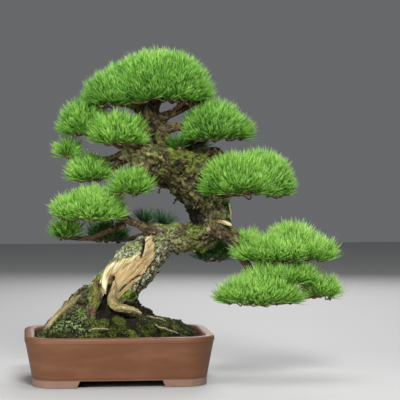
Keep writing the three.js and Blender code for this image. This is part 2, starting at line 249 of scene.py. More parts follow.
LITTER = PlainFinish(
    "soil_litter", 0.9, (0.004, 3, 0.8),
    ((0.35, (0.018, 0.012, 0.008)), (0.52, (0.045, 0.033, 0.020)), (0.68, (0.24, 0.20, 0.13))),
    specular=0.15, relief=(0.001, 2), rise=(0.0004, 0.6),
)
TWIG_BARK = PlainFinish(
    "twig_bark", 0.85, (0.006, 4, 0.65),
    ((0.34, (0.02, 0.010, 0.006)), (0.5, (0.14, 0.072, 0.04)), (0.68, (0.50, 0.35, 0.21))),
    specular=0.2, relief=(0.006, 4, 0.65), rise=(0.002, 0.8),
)
PALE_ROOT = PlainFinish(
    "pale_root", 0.8, (0.004, 4, 0.6), ((0.3, (0.07, 0.05, 0.025)), (0.6, (0.34, 0.28, 0.17))),
    relief=(0.004, 4, 0.6),
)
SCREEN_PLASTIC = PlainFinish(
    "screen_plastic", 0.5, (0.008, 4), ((0.45, (0.012, 0.012, 0.013)), (0.75, (0.07, 0.055, 0.04))),
    relief=(0.008, 4), rise=(0.0003, 0.4), polish=(0.4, 0.3), blend="EASE",
)
WIRE = PlainFinish(
    "annealed_wire", 0.4, (0.005, 4), ((0.35, (0.30, 0.20, 0.12)), (0.7, (0.62, 0.50, 0.38))),
    metallic=1.0, polish=(0.3, 0.25),
)
STUDIO_FLOOR = PlainFinish(
    "studio_floor", 0.75, (0.6, 2), ((0.0, (0.44, 0.44, 0.435)), (1.0, (0.428, 0.428, 0.4245)))
)


@dataclass(frozen=True)
class ClayFinish:
    """Unglazed fired clay, a little darker in the pores, and paler on the feet below a line near the ground.
    """

    body: Colour = (0.148, 0.057, 0.0245)
    dark: Colour = (0.094, 0.034, 0.013)
    pale: Colour = (0.25, 0.12, 0.065)
    foot: Colour = (0.285, 0.178, 0.132)
    foot_line: Point = (0.0165, 0.0135)

    def material(self) -> Material:
        """Makes the clay."""
        sheet = Sheet("fired_clay", 0.55, 0.35)
        cloud = sheet.noise(0.05, 5, 0.6, sheet.place((0.35, 0.35, 1.4)))
        speck = sheet.noise(0.0012, 2, 0.7)
        fine = sheet.noise(0.006, 4, 0.6)
        base = sheet.ramp(cloud, (0.3, self.dark), (0.5, self.body), (0.75, self.pale))
        base = sheet.mix(0.55, base, self.body)
        base = sheet.mix(sheet.limit(speck, 0.62, 0.75), base, self.pale)
        base = sheet.mix(sheet.limit(speck, 0.36, 0.26), base, self.dark)
        height = sheet.axes(sheet.coords["Object"])[2]
        # paler below a line near the ground, in cloudy patches
        worn = sheet.times(sheet.limit(height, *self.foot_line), sheet.limit(cloud, 0.1, 0.5))
        base = sheet.mix(sheet.times(worn, 0.85), base, self.foot)
        normal = sheet.bump(fine, 0.0006, 0.5, sheet.bump(speck, 0.00025, 0.6))
        return sheet.finish(base, sheet.scaled(fine, 0.25, 0.38), normal)


@dataclass(frozen=True)
class SoilFinish:
    """Damp granular soil with darker hollows and a few pale grains, mossy where the mesh says so."""

    dark: Colour = (0.005, 0.004, 0.003)
    body: Colour = (0.013, 0.011, 0.007)
    pale: Colour = (0.055, 0.045, 0.027)
    green: Colour = (0.030, 0.046, 0.006)
    green_tip: Colour = (0.17, 0.23, 0.03)
    frond: Colour = (0.20, 0.30, 0.10)

    def material(self) -> Material:
        """Makes the soil."""
        sheet = Sheet("damp_soil", 0.9, 0.15)
        grain = sheet.cells(0.004)
        cloud = sheet.noise(0.03, 4)
        fine = sheet.noise(0.0025, 3, 0.7)
        base = sheet.ramp(fine, (0.3, self.dark), (0.52, self.body), (0.8, self.pale))
        base = sheet.mix(sheet.limit(cloud, 0.35, 0.65), base, sheet.mix(0.5, base, self.dark))
        green = sheet.ramp(fine, (0.38, self.green), (0.68, self.green_tip))
        base = sheet.mix(sheet.patches("moss", fine, 0.35, 0.6), base, green)
        base = sheet.mix(sheet.patches("frond", sheet.noise(0.006, 5, 0.75), 0.51, 0.56), base, self.frond)
        return sheet.finish(base, None, sheet.bump(fine, 0.0015, 0.8, sheet.bump(grain, 0.002, 0.8)))


@dataclass(frozen=True)
class MossFinish:
    """Low cushion moss: bright tips over dark green hollows, with bare earth between."""

    dark: Colour = (0.006, 0.009, 0.002)
    body: Colour = (0.040, 0.062, 0.007)
    tip: Colour = (0.27, 0.34, 0.045)
    earth: Colour = (0.010, 0.008, 0.005)

    def material(self) -> Material:
        """Makes the moss."""
        sheet = Sheet("cushion_moss", 0.85, 0.15)
        cloud = sheet.noise(0.011, 5, 0.65)
        fine = sheet.noise(0.002, 3, 0.7)
        base = sheet.ramp(fine, (0.36, self.dark), (0.52, self.body), (0.68, self.tip))
        base = sheet.mix(sheet.limit(cloud, 0.53, 0.44), base, sheet.mix(0.9, base, self.earth))
        return sheet.finish(base, None, sheet.bump(fine, 0.002, 0.9))


@dataclass(frozen=True)
class BarkFinish:
    """Flaky pine bark with lichen and moss, and bleached dead wood where the mesh says so; the mesh also says
    where shade is painted into its cracks and hollows.
    """

    # crevice and crack are also the colours of painted shade in the bark's cracks and the wood's grooves
    crevice: Colour = (0.006, 0.004, 0.002)
    bark: Colour = (0.045, 0.033, 0.014)
    flake: Colour = (0.16, 0.125, 0.055)
    pale_flake: Colour = (0.42, 0.33, 0.17)
    red: Colour = (0.15, 0.065, 0.035)
    frond: Colour = (0.33, 0.42, 0.17)
    dead: Colour = (0.41, 0.30, 0.12)
    dead_pale: Colour = (0.80, 0.68, 0.40)
    dead_dark: Colour = (0.11, 0.06, 0.02)
    dead_worn: Colour = (0.20, 0.15, 0.065)
    cream: Colour = (0.82, 0.77, 0.50)
    ochre: Colour = (0.46, 0.27, 0.11)
    crack: Colour = (0.028, 0.016, 0.007)
    lichen: Colour = (0.47, 0.50, 0.355)
    moss: Colour = (0.045, 0.078, 0.006)
    moss_tip: Colour = (0.22, 0.31, 0.030)

    def wood(self, sheet: Sheet, strands: Output, grain: Output) -> Output:
        """The colour of the dead wood: tan inside, cream along its rim and legs, brown in its cracks."""
        stain = sheet.noise(0.03, 4, 0.6, sheet.place((1, 1, 0.35), grain))
        tan = sheet.ramp(strands, (0.30, self.dead_dark), (0.44, self.dead), (0.72, self.dead_pale))
        tan = sheet.mix(sheet.limit(stain, 0.42, 0.68), tan, sheet.mix(0.4, tan, self.dead_dark))
        mottle = sheet.limit(sheet.noise(0.011, 5, 0.7), 0.5, 0.62)
        tan = sheet.mix(sheet.times(mottle, 0.55), tan, self.ochre)
        tan = sheet.mix(sheet.limit(sheet.noise(0.0042, 2, 0.6), 0.66, 0.71), tan, self.dead_dark)
        cream = sheet.ramp(strands, (0.34, self.dead_dark), (0.45, self.dead), (0.6, self.cream))
        wood = sheet.mix(sheet.attribute("pale"), tan, cream)
        return sheet.mix(sheet.attribute("worn"), wood, self.dead_worn)

    def material(self) -> Material:
        """Makes the bark and the wood."""
        sheet = Sheet("pine_bark", 0.85, 0.2)
        grain = sheet.attribute("grain", "Vector")
        flakes = sheet.noise(0.009, 6, 0.7, sheet.place((1, 1, 0.45), grain))
        fine = sheet.noise(0.0035, 4, 0.7)
        speck = sheet.noise(0.006, 5, 0.75, sheet.place((1, 1, 0.8), grain))
        dull = sheet.ramp(flakes, (0.30, self.crevice), (0.44, self.bark), (0.64, self.flake))
        pale = sheet.ramp(flakes, (0.32, self.bark), (0.46, self.flake), (0.62, self.pale_flake))
        moss = sheet.ramp(fine, (0.34, self.moss), (0.62, self.moss_tip))
        bark = sheet.mix(sheet.attribute("tint"), dull, pale)
        bark = sheet.mix(sheet.times(sheet.attribute("red"), 0.85), bark, self.red)
        bark = sheet.mix(sheet.patches("moss", flakes, 0.34, 0.48), bark, moss)
        bark = sheet.mix(sheet.patches("lichen", speck, 0.47, 0.56), bark, self.lichen)
        bark = sheet.mix(sheet.patches("frond", speck, 0.48, 0.54), bark, self.frond)
        # painted shade: cracks, hollows and shaded sides darken to the crevice colour, along with darker
        # patches of bark
        cavity = sheet.attribute("cavity")
        bark = sheet.mix(cavity, bark, self.crevice)
        strands = sheet.noise(0.0034, 6, 0.7, sheet.place((1, 1, 0.07), grain))
        # painted shade in the bare wood's grooves and cracks, in the crack colour
        wood = sheet.mix(cavity, self.wood(sheet, strands, grain), self.crack)
        base = sheet.mix(sheet.attribute("dead"), bark, wood)
        normal = sheet.bump(strands, 0.0016, 0.7, sheet.bump(flakes, 0.004, 0.8))
        return sheet.finish(base, sheet.scaled(strands, 0.2, 0.7), normal)


@dataclass(frozen=True)
class NeedleFinish:
    """Pine needles: the map's first axis is a needle's tone, from painted shade to painted light with some
    random spread, the second runs from its base to its tip.
    """

    shade: Colour = (0.022, 0.075, 0.036)
    deep: Colour = (0.062, 0.225, 0.011)
    fresh: Colour = (0.185, 0.455, 0.030)
    lit: Colour = (0.39, 0.69, 0.12)
    sheath: Colour = (0.62, 0.55, 0.24)
    tip: Colour = (0.58, 0.80, 0.33)

    def material(self) -> Material:
        """Makes the needles."""
        sheet = Sheet("pine_needles", 0.42, 0.28)
        tone, along, _ = sheet.axes(sheet.coords["UV"])
        base = sheet.ramp(tone, (0.0, self.shade), (0.3, self.deep), (0.62, self.fresh), (1.0, self.lit))
        tip = sheet.times(sheet.limit(along, 0.7, 1.0), sheet.limit(tone, 0.15, 0.7))
        base = sheet.mix(sheet.times(tip, 0.5), base, self.tip)
        sheath = sheet.times(sheet.limit(along, 0.16, 0.03), sheet.limit(tone, 0.1, 0.7))
        return sheet.finish(sheet.mix(sheath, base, self.sheath))


# ---- handwork -------------------------------------------------------------------------------------------


def take(obj: Piece) -> Piece:
    """Makes an object the only selected one and the active one."""
    bpy.ops.object.select_all(action="DESELECT")
    obj.select_set(True)
    bpy.context.view_layer.objects.active = obj
    return obj


def primitive(
    name: str, kind: str, place: np.ndarray, scale: object = (1, 1, 1), **settings: object
) -> Piece:
    """Adds a primitive solid that sits at the origin, with its place and scale in the mesh.

    Args:
        name: The object's name.
        kind: The primitive's name in Blender.
        place: Its middle, in metres in the frame.
        scale: Its scale along each axis.
        **settings: Its other settings.

    Returns:
        The object, selected and active.
    """
    bpy.ops.object.select_all(action="DESELECT")
    getattr(bpy.ops.mesh, f"primitive_{kind}_add")(location=place, scale=scale, **settings)
    obj = bpy.context.object
    obj.name = name
    bpy.ops.object.transform_apply(location=True, rotation=True, scale=True)
    return obj


class Bench:
    """Edit-mode work on one object, with faces and edges picked by their place."""

    def __init__(self, obj: Piece) -> None:
        """Names the object to work on."""
        self.obj = take(obj)

    def __enter__(self) -> "Bench":
        """Enters edit mode with everything selected."""
        bpy.ops.object.mode_set(mode="EDIT")
        bpy.ops.mesh.select_all(action="SELECT")
        return self

    def __exit__(self, *problem: object) -> None:
        """Goes back to object mode."""
        bpy.ops.object.mode_set(mode="OBJECT")

    def pick(self, kind: str, test: Callable[[bmesh.types.BMFace | bmesh.types.BMEdge], bool]) -> None:
        """Selects just the faces, or just the edges, that pass a test."""
        bpy.ops.mesh.select_mode(type=kind)
        bpy.ops.mesh.select_all(action="DESELECT")
        sheet = bmesh.from_edit_mesh(self.obj.data)
        for element in sheet.faces if kind == "FACE" else sheet.edges:
            element.select_set(test(element))
        bmesh.update_edit_mesh(self.obj.data)

    def pick_end(self, facing: int) -> None:
        """Selects just the faces that look up, for 1, or down, for -1."""
        self.pick("FACE", lambda face: face.normal.z * facing > 0.9)

    def keep_above(self, height: float) -> None:
        """Cuts away and closes what lies below a height in millimetres."""
        bpy.ops.mesh.bisect(plane_co=spot(0, 0, height), plane_no=(0, 0, 1), clear_inner=True, use_fill=True)


def apply_modifier(obj: Piece, kind: str, **settings: object) -> None:
    """Adds a modifier of a kind, with its settings, and applies it."""
    take(obj)
    made = obj.modifiers.new(kind.lower(), kind)
    for key, value in settings.items():
        setattr(made, key, value)
    bpy.ops.object.modifier_apply(modifier=made.name)


def remesh(obj: Piece, voxel: float) -> None:
    """Gives a solid one even skin of small faces, their size in millimetres."""
    apply_modifier(obj, "REMESH", mode="VOXEL", voxel_size=voxel * MM, use_smooth_shade=True)


def cut(obj: Piece, tool: Piece, operation: str = "DIFFERENCE") -> None:
    """Cuts or joins one solid with another, which is used up."""
    apply_modifier(obj, "BOOLEAN", object=tool, operation=operation, solver="EXACT")
    bpy.data.objects.remove(tool)


def settle(obj: Piece, material: Material, slot: str, *nodes: str) -> Piece:
    """Puts a finished piece in the frame.

    Args:
        obj: The piece.
        material: Its material.
        slot: The name of a material slot; not used.
        *nodes: The CAD nodes it stands for.

    Returns:
        The piece.
    """
    obj.data.materials.clear()
    obj.data.materials.append(material)
    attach(obj, "root")
    if nodes:
        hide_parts(*nodes)
    LOG.info("%s: %d faces", obj.name, len(obj.data.polygons))
    return obj


def from_arrays(name: str, points: np.ndarray, faces: np.ndarray) -> Piece:
    """A mesh object from arrays.

    Args:
        name: The object's name.
        points: Vertex places, N by 3, in metres.
        faces: Vertex numbers, M by 3.

    Returns:
        The object, linked to the scene.
    """
    mesh = bpy.data.meshes.new(name)
    mesh.vertices.add(len(points))
    mesh.vertices.foreach_set("co", points.astype(np.float32).ravel())
    mesh.loops.add(faces.size)
    mesh.loops.foreach_set("vertex_index", faces.astype(np.int32).ravel())
    mesh.polygons.add(len(faces))
    mesh.polygons.foreach_set("loop_start", np.arange(0, faces.size, faces.shape[1], dtype=np.int32))
    mesh.update(calc_edges=True)
    mesh.validate()
    obj = bpy.data.objects.new(name, mesh)
    bpy.context.scene.collection.objects.link(obj)
    return obj


def surface(obj: Piece) -> tuple[np.ndarray, np.ndarray]:
    """The vertex places and vertex normals of a mesh object, each N by 3."""
    points, normals = (np.empty(len(obj.data.vertices) * 3, dtype=np.float32) for _ in range(2))
    obj.data.vertices.foreach_get("co", points)
    obj.data.vertex_normals.foreach_get("vector", normals)
    return points.reshape(-1, 3).astype(float), normals.reshape(-1, 3).astype(float)


def raise_skin(obj: Piece, points: np.ndarray, normals: np.ndarray, rise: np.ndarray) -> np.ndarray:
    """Moves each vertex along its normal by a rise in millimetres, and gives the new places."""
    moved = points + normals * (rise * MM)[:, None]
    obj.data.vertices.foreach_set("co", moved.astype(np.float32).ravel())
    obj.data.update()
    return moved


def write_attributes(obj: Piece, **attributes: np.ndarray) -> None:
    """Stores numbers or vectors for every vertex, by name."""
    for name, values in attributes.items():
        kind, key = ("FLOAT", "value") if values.ndim == 1 else ("FLOAT_VECTOR", "vector")
        made = obj.data.attributes.new(name, kind, "POINT")
        made.data.foreach_set(key, values.astype(np.float32).ravel())


def unit(vectors: np.ndarray) -> np.ndarray:
    """Vectors, N by 3, scaled to a length of 1."""
    return vectors / np.linalg.norm(vectors, axis=1)[:, None]


def step(values: np.ndarray, low: float, high: float) -> np.ndarray:
    """A smooth step from 0 at low to 1 at high."""
    t = np.clip((values - low) / (high - low), 0, 1)
    return t * t * (3 - 2 * t)


def clouds(points: np.ndarray, size: float, octaves: int = 3, seed: float = 0.0) -> np.ndarray:
    """Fractal noise about zero at points in metres.

    Args:
        points: N by 3.
        size: Width of the largest patches.
        octaves: How many finer layers.
        seed: Moves the pattern.

    Returns:
        N values, mostly between -1 and 1.
    """
    shift = Vector((seed, seed * 0.7, -seed))
    places = (Vector(p) / size + shift for p in points)
    return np.array([noise.fractal(p, 0.7, 2.0, octaves, noise_basis="PERLIN_ORIGINAL") for p in places])


def plates(cells: np.ndarray) -> tuple[np.ndarray, np.ndarray]:
    """Cell pattern of bark plates.

    Args:
        cells: N by 3, in cell widths.

    Returns:
        How far each point is from the edge of its cell, and the lift of its cell from 0 to 1.
    """
    edge, lift = np.empty(len(cells)), np.empty(len(cells))
    for number, cell in enumerate(cells):
        distances, centres = noise.voronoi(Vector(cell))
        edge[number] = distances[1] - distances[0]
        lift[number] = noise.cell(centres[0] * 37)
    return edge, lift


# ---- limbs ----------------------------------------------------------------------------------------------


class Limb:
    """A round limb of wood through stations, sampled finely along its length."""

    def __init__(self, table: np.ndarray, steps: int) -> None:
        """Samples the limb.

        Args:
            table: Places and radii of its stations, N by 4, in metres in the frame.
            steps: Samples between stations.
        """
        padded = np.vstack([2 * table[0] - table[1], table, 2 * table[-1] - table[-2]])
        self.place = np.linspace(0, len(table) - 1, (len(table) - 1) * steps + 1)
        i = np.minimum(self.place.astype(int), len(table) - 2)
        t = (self.place - i)[:, None]
        a, b, c, d = (padded[i + k] for k in range(4))
        square, cube = 2 * a - 5 * b + 4 * c - d, 3 * b - a - 3 * c + d
        rows = 0.5 * (2 * b + (c - a) * t + square * t**2 + cube * t**3)
        self.centre = rows[:, :3]
        self.radius = np.interp(self.place, np.arange(len(table)), table[:, 3])
        self.tangent = unit(np.gradient(self.centre, axis=0))
        self.along = np.concatenate([[0], np.cumsum(np.linalg.norm(np.diff(self.centre, axis=0), axis=1))])
        self.side = np.empty_like(self.centre)
        side = np.array([0.0, 1.0, 0.0] if abs(self.tangent[0][1]) < 0.9 else [1.0, 0.0, 0.0])
        for k, tangent in enumerate(self.tangent):
            side = side - tangent * side.dot(tangent)
            side /= np.linalg.norm(side)
            self.side[k] = side
        self.other = np.cross(self.tangent, self.side)

    def tube(self, sides: int) -> tuple[np.ndarray, np.ndarray]:
        """The points and triangles of a closed tube with rounded ends and a number of sides."""
        angle = np.arange(sides) * 2 * np.pi / sides
        ends = self.radius[[0, -1], None] * self.tangent[[0, -1]] * [[-0.5], [0.5]]
        centre = np.vstack([self.centre[:1] + ends[0], self.centre, self.centre[-1:] + ends[1]])
        radius = np.concatenate([self.radius[:1] * 0.6, self.radius, self.radius[-1:] * 0.6])
        side, other = (np.pad(rows, ((1, 1), (0, 0)), "edge")[:, None] for rows in (self.side, self.other))
        out = side * np.cos(angle)[None, :, None] + other * np.sin(angle)[None, :, None]
        rings = centre[:, None] + out * radius[:, None, None]
        points = np.vstack([rings.reshape(-1, 3), centre[:1], centre[-1:]])
        ring = np.arange(sides)
        following = (ring + 1) % sides
        level = (np.arange(len(centre) - 1) * sides)[:, None]
        a, b = level + ring, level + following
        walls = np.stack([a, b, b + sides, a, b + sides, a + sides], axis=-1).reshape(-1, 3)
        top = (len(centre) - 1) * sides
        low_fan = np.stack([np.full(sides, top + sides), following, ring], axis=-1)
        top_fan = np.stack([np.full(sides, top + sides + 1), top + ring, top + following], axis=-1)
        return points, np.vstack([walls, low_fan, top_fan])


def planned(run: list[Station], steps: int = 8) -> Limb:
    """A limb through places and radii in millimetres from the pot's middle."""
    return Limb(np.array(run, dtype=float) * MM + [*ORIGIN, 0], steps)


def tubes_object(name: str, limbs: list[Limb], sides: int) -> Piece:
    """One object that holds the tubes of several limbs."""
    points, faces, start = [], [], 0
    for limb in limbs:
        p, f = limb.tube(sides)
        points.append(p)
        faces.append(f + start)
        start += len(p)
    return from_arrays(name, np.vstack(points), np.vstack(faces))


def nearest_on(limbs: list[Limb], points: np.ndarray) -> dict[str, np.ndarray]:
    """Where points lie along and round the nearest of several limbs.

    Args:
        limbs: The limbs.
        points: N by 3, in metres.

    Returns:
        Per point: the limb's number, the station place, the length along, the distance from the centre line,
        and its two parts in the limb's own cross-section.
    """
    rows = np.arange(len(points))
    best = np.full(len(points), np.inf)
    found = {key: np.zeros(len(points)) for key in ("limb", "place", "along", "reach", "across", "round")}
    for number, limb in enumerate(limbs):
        gap = np.linalg.norm(points[:, None] - limb.centre[None], axis=2)
        index = np.argmin(gap / limb.radius[None], axis=1)
        score = gap[rows, index] / limb.radius[index]
        wins = score < best
        best[wins] = score[wins]
        k = index[wins]
        out = points[wins] - limb.centre[k]
        axes = (limb.tangent, limb.side, limb.other)
        along, across, around = (np.einsum("ij,ij->i", out, axis[k]) for axis in axes)
        facts = (number, limb.place[k], limb.along[k] + along, np.linalg.norm(out, axis=1), across, around)
        for values, fact in zip(found.values(), facts):
            values[wins] = fact
    return found


# ---- the tree's plan, in millimetres from the pot's middle ------------------------------------------------

TRUNK: list[Station] = [
    (-54, 5, 112, 56), (-38, 5, 149, 54), (-12, 2, 185, 50), (16, 0, 218, 47), (36, 0, 242, 49),
    (59, 2, 265, 43),
    (81, 4, 289, 39), (113, 8, 300, 31), (152, 12, 304, 32), (189, 14, 317, 37), (202, 14, 350, 42),
    (199, 12, 380, 44), (184, 8, 408, 49), (158, 3, 437, 54), (124, -2, 459, 54), (92, -5, 473, 49),
    (60, -6, 482, 39), (34, -6, 489, 27), (18, -6, 492, 17),
]
LEADER: list[Station] = [
    (102, -2, 476, 38), (82, -4, 508, 36), (71, -4, 536, 33), (68, -2, 560, 30), (68, 0, 586, 24),
    (78, 0, 624, 9),
]
ROOTS: list[list[Station]] = [
    [(-40, 0, 172, 36), (-72, -12, 164, 29), (-104, -26, 146, 22), (-134, -38, 124, 15),
     (-154, -46, 104, 10)],
    [(-40, -28, 190, 24), (-52, -46, 158, 19), (-62, -62, 128, 15), (-70, -74, 104, 10)],
    [(0, 8, 176, 34), (34, 26, 146, 22), (72, 42, 124, 15), (104, 56, 104, 9)],
    [(-50, 26, 176, 34), (-62, 56, 146, 24), (-74, 84, 116, 16), (-80, 100, 98, 10)],
]
DEAD_LEGS: list[list[Station]] = [
    [(-3, -31, 228, 8.5), (-8, -37, 209, 9.5), (-12, -44, 189, 10.5), (-14, -52, 173, 10.5),
     (-4, -58, 162, 10.5),
     (11, -60, 158, 10), (28, -58, 154, 9), (46, -54, 146, 5)],
    [(0, -20, 254, 6), (-17, -28, 243, 7), (-28, -37, 224, 7.5), (-31, -43, 206, 6.5), (-31, -46, 190, 4.5),
     (-30, -46, 177, 2)],
]
PALE_SNAGS: list[list[Station]] = [
    [(-32, -36, 226, 4), (-38, -42, 214, 2.6), (-44, -44, 203, 1.2)],
    [(215, -22, 341, 5), (229, -34, 338, 4.8), (242, -38, 333, 3.4)],
    [(241, -12, 378, 2), (245, -12, 362, 2.2), (245, -11, 344, 1.4)],
]
DARK_SNAGS: list[list[Station]] = [
    [(154, -18, 374, 9), (146, -24, 390, 6), (134, -28, 395, 4.6), (125, -30, 388, 3), (120, -30, 379, 2)],
    [(104, -22, 426, 7), (92, -26, 414, 3.6), (86, -26, 404, 2)],
    [(40, -18, 462, 7), (33, -22, 447, 4), (34, -22, 434, 2)],
]
WOOD_TOP_EDGE: tuple[Point, ...] = (
    (60, 310), (57, 298), (53, 283), (37, 272), (13, 263), (-10, 251), (-27, 237), (-34, 221), (-38, 205),
    (-36, 186),
)
WOOD_LOW_EDGE: tuple[Point, ...] = (
    (-6, 168), (4, 180), (15, 192), (32, 206), (49, 223), (63, 239), (75, 256), (78, 274), (77, 296),
    (71, 310),
)


BRANCHES: dict[str, list[list[Station]]] = {
    "branch_crown_left": [
        [(74, -2, 566, 15), (48, -2, 586, 12), (10, 0, 598, 9), (-42, 2, 602, 5)],
        [(22, -2, 595, 7), (6, -30, 602, 5), (-14, -52, 606, 4)],
    ],
    "branch_crown_right": [
        [(78, -6, 558, 13), (108, -12, 570, 10), (148, -14, 588, 8), (186, -12, 612, 5)],
        [(120, -13, 576, 7), (136, -44, 594, 5), (150, -62, 608, 4)],
    ],
    "branch_crown_back": [[(78, 4, 574, 11), (88, 34, 594, 8), (104, 66, 612, 5)]],
    "branch_upper_left": [[(30, -5, 497, 13), (0, -2, 508, 10), (-38, 6, 524, 7), (-92, 12, 538, 4)]],
    "branch_upper_left_front": [[(44, -22, 498, 10), (26, -48, 506, 8), (0, -62, 514, 6),
    (-30, -62, 520, 4)]],
    "branch_left_small": [[(14, 4, 486, 9), (-22, 12, 474, 7), (-70, 15, 478, 5), (-124, 15, 488, 3.5)]],
    "branch_left_mid": [[(24, 4, 480, 11), (-6, 6, 458, 8), (-42, 8, 434, 6), (-92, 8, 434, 4)]],
    "branch_left_mid_front": [[(70, -32, 470, 10), (54, -50, 440, 8), (32, -56, 410, 6), (-4, -54, 402, 4)]],
    "branch_left_lower": [
        [(78, -18, 318, 12), (38, -22, 336, 9), (4, -24, 350, 8), (-46, -26, 356, 6), (-116, -26, 358, 4)],
        [(-20, -25, 353, 6), (-44, -50, 356, 5), (-70, -62, 360, 4)],
    ],
    "branch_left_lowest": [[(14, -6, 334, 8), (-26, 0, 318, 7), (-58, 6, 304, 6), (-128, 10, 306, 3.5)]],
    "branch_left_back": [[(104, 34, 318, 9), (66, 60, 308, 7), (20, 73, 298, 5), (-30, 75, 298, 3.5)]],
    "branch_left_inner": [[(116, 32, 326, 7), (92, 44, 328, 5), (56, 50, 330, 4)]],
    "branch_right_upper": [
        [(92, -10, 536, 13), (124, -16, 545, 10), (152, -22, 540, 8), (186, -26, 522, 7),
         (268, -26, 526, 4)],
        [(196, -26, 522, 5), (214, -52, 524, 4), (226, -72, 528, 3.5)],
    ],
    "branch_right_mid": [
        [(212, -18, 398, 12), (244, -40, 400, 6.5), (292, -50, 406, 4.5), (354, -50, 411, 3.5)],
        [(256, -44, 399, 6), (272, -76, 404, 5), (286, -98, 408, 3.5)],
    ],
    "branch_right_mid_upper": [
        [(168, 0, 484, 18), (206, -4, 489, 14), (232, -14, 470, 10), (262, -18, 432, 7), (330, -16, 424, 4)],
    ],
    "branch_right_low": [
        [(198, -2, 330, 24), (226, -10, 322, 20), (252, -16, 304, 15), (280, -20, 276, 9),
         (322, -22, 260, 7),
         (436, -25, 264, 4)],
        [(330, -22, 258, 6), (356, -56, 262, 5), (378, -82, 266, 3.5)],
        [(352, -23, 259, 6), (378, 8, 264, 5), (396, 30, 268, 3.5)],
    ],
    "branch_right_lowest": [
        [(268, -16, 262, 9), (284, -40, 232, 8), (276, -62, 190, 7), (292, -70, 168, 6), (366, -66, 168, 4)],
        [(284, -66, 180, 5), (316, -52, 192, 5), (352, -46, 204, 3.5)],
        [(330, -68, 168, 5), (392, -54, 176, 4.5), (458, -46, 182, 3.5)],
    ],
    "branch_back_low": [[(194, 38, 316, 10), (208, 62, 284, 7), (222, 72, 254, 4)]],
    "branch_back_mid": [[(132, 34, 458, 12), (132, 74, 440, 9), (134, 124, 444, 5)]],
    "branch_back_upper": [[(128, 30, 482, 9), (152, 56, 494, 7), (176, 80, 504, 4)]],
}


class PadTone(Enum):
    """How bright the needles of a pad are: painted light on the lower pads, the plain fresh tone, painted
    shade on the upper pads, and old growth with painted shade at the back.
    """

    PAINTED_LIGHT = 0.14
    FRESH = 0.02
    PAINTED_SHADE = -0.10
    SHADED = -0.38


@dataclass(frozen=True)
class Lobe:
    """One dome of foliage: the middle of its underside, half sizes and height, in millimetres."""

    x: float
    y: float
    z: float
    half_x: float
    half_y: float
    height: float


@dataclass(frozen=True)
class PadPlan:
    """A needle pad: the branch that carries it, its lobes and how far its needles are painted lighter or
    darker.
    """

    branch: str
    lobes: tuple[Lobe, ...]
    age: PadTone = PadTone.FRESH


PADS: dict[str, PadPlan] = {
    "pad_crown": PadPlan(
        "branch_crown_right",
        (Lobe(90, -8, 604, 122, 100, 116), Lobe(34, 6, 600, 90, 86, 97), Lobe(134, 34, 604, 76, 80, 94)),
        PadTone.PAINTED_SHADE,
    ),
    "pad_crown_left": PadPlan("branch_crown_left", (Lobe(-10, 0, 594, 72, 80, 78),), PadTone.PAINTED_SHADE),
    "pad_upper_left": PadPlan("branch_upper_left", (Lobe(-68, 10, 530, 66, 66, 82),), PadTone.PAINTED_SHADE),
    "pad_upper_left_front": PadPlan("branch_upper_left_front", (Lobe(-2, -62, 510, 72, 52, 76),)),
    "pad_left_small": PadPlan("branch_left_small", (Lobe(-106, 16, 479, 38, 44, 54),)),
    "pad_left_mid": PadPlan("branch_left_mid", (Lobe(-60, 6, 430, 58, 58, 66),), PadTone.PAINTED_LIGHT),
    "pad_left_mid_front": PadPlan("branch_left_mid_front", (Lobe(27, -60, 401, 60, 48, 64),)),
    "pad_left_lower": PadPlan(
        "branch_left_lower", (Lobe(-54, -28, 348, 80, 72, 78), Lobe(-104, -26, 350, 50, 54, 58)), PadTone.PAINTED_LIGHT
    ),
    "pad_left_lowest": PadPlan("branch_left_lowest", (Lobe(-110, 10, 306, 46, 48, 50),)),
    "pad_left_back": PadPlan("branch_left_back", (Lobe(-18, 76, 296, 60, 48, 54),), PadTone.SHADED),
    "pad_left_inner": PadPlan(
        "branch_left_inner", (Lobe(62, 50, 332, 36, 34, 48), Lobe(104, 50, 330, 36, 34, 44)), PadTone.SHADED
    ),
    "pad_right_upper": PadPlan(
        "branch_right_upper", (Lobe(206, -26, 520, 76, 76, 90), Lobe(240, -24, 520, 62, 60, 62)), PadTone.PAINTED_SHADE
    ),
    "pad_right_mid": PadPlan(
        "branch_right_mid", (Lobe(254, -50, 403, 90, 78, 96), Lobe(304, -24, 401, 86, 72, 104))
    ),
    "pad_right_low": PadPlan(
        "branch_right_low",
        (Lobe(366, -25, 258, 124, 86, 62), Lobe(376, -24, 260, 76, 66, 88), Lobe(282, -8, 270, 42, 50, 64)),
        PadTone.PAINTED_LIGHT,
    ),
    "pad_right_lowest": PadPlan("branch_right_lowest", (Lobe(298, -70, 168, 106, 70, 68),), PadTone.PAINTED_LIGHT),
    "pad_right_lowest_back": PadPlan("branch_right_lowest", (Lobe(350, -46, 206, 96, 62, 58),), PadTone.PAINTED_LIGHT),
    "pad_right_lowest_tip": PadPlan("branch_right_lowest", (Lobe(438, -46, 177, 54, 46, 56),), PadTone.PAINTED_LIGHT),
    "pad_back_low": PadPlan("branch_back_low", (Lobe(216, 66, 254, 58, 48, 58),), PadTone.SHADED),
    "pad_back_mid": PadPlan("branch_back_mid", (Lobe(134, 116, 438, 66, 46, 70),), PadTone.SHADED),
    "pad_back_upper": PadPlan(
        "branch_back_upper", (Lobe(178, 84, 500, 44, 42, 48), Lobe(130, -34, 498, 34, 30, 42)), PadTone.SHADED
    ),
}


# ---- pot ------------------------------------------------------------------------------------------------


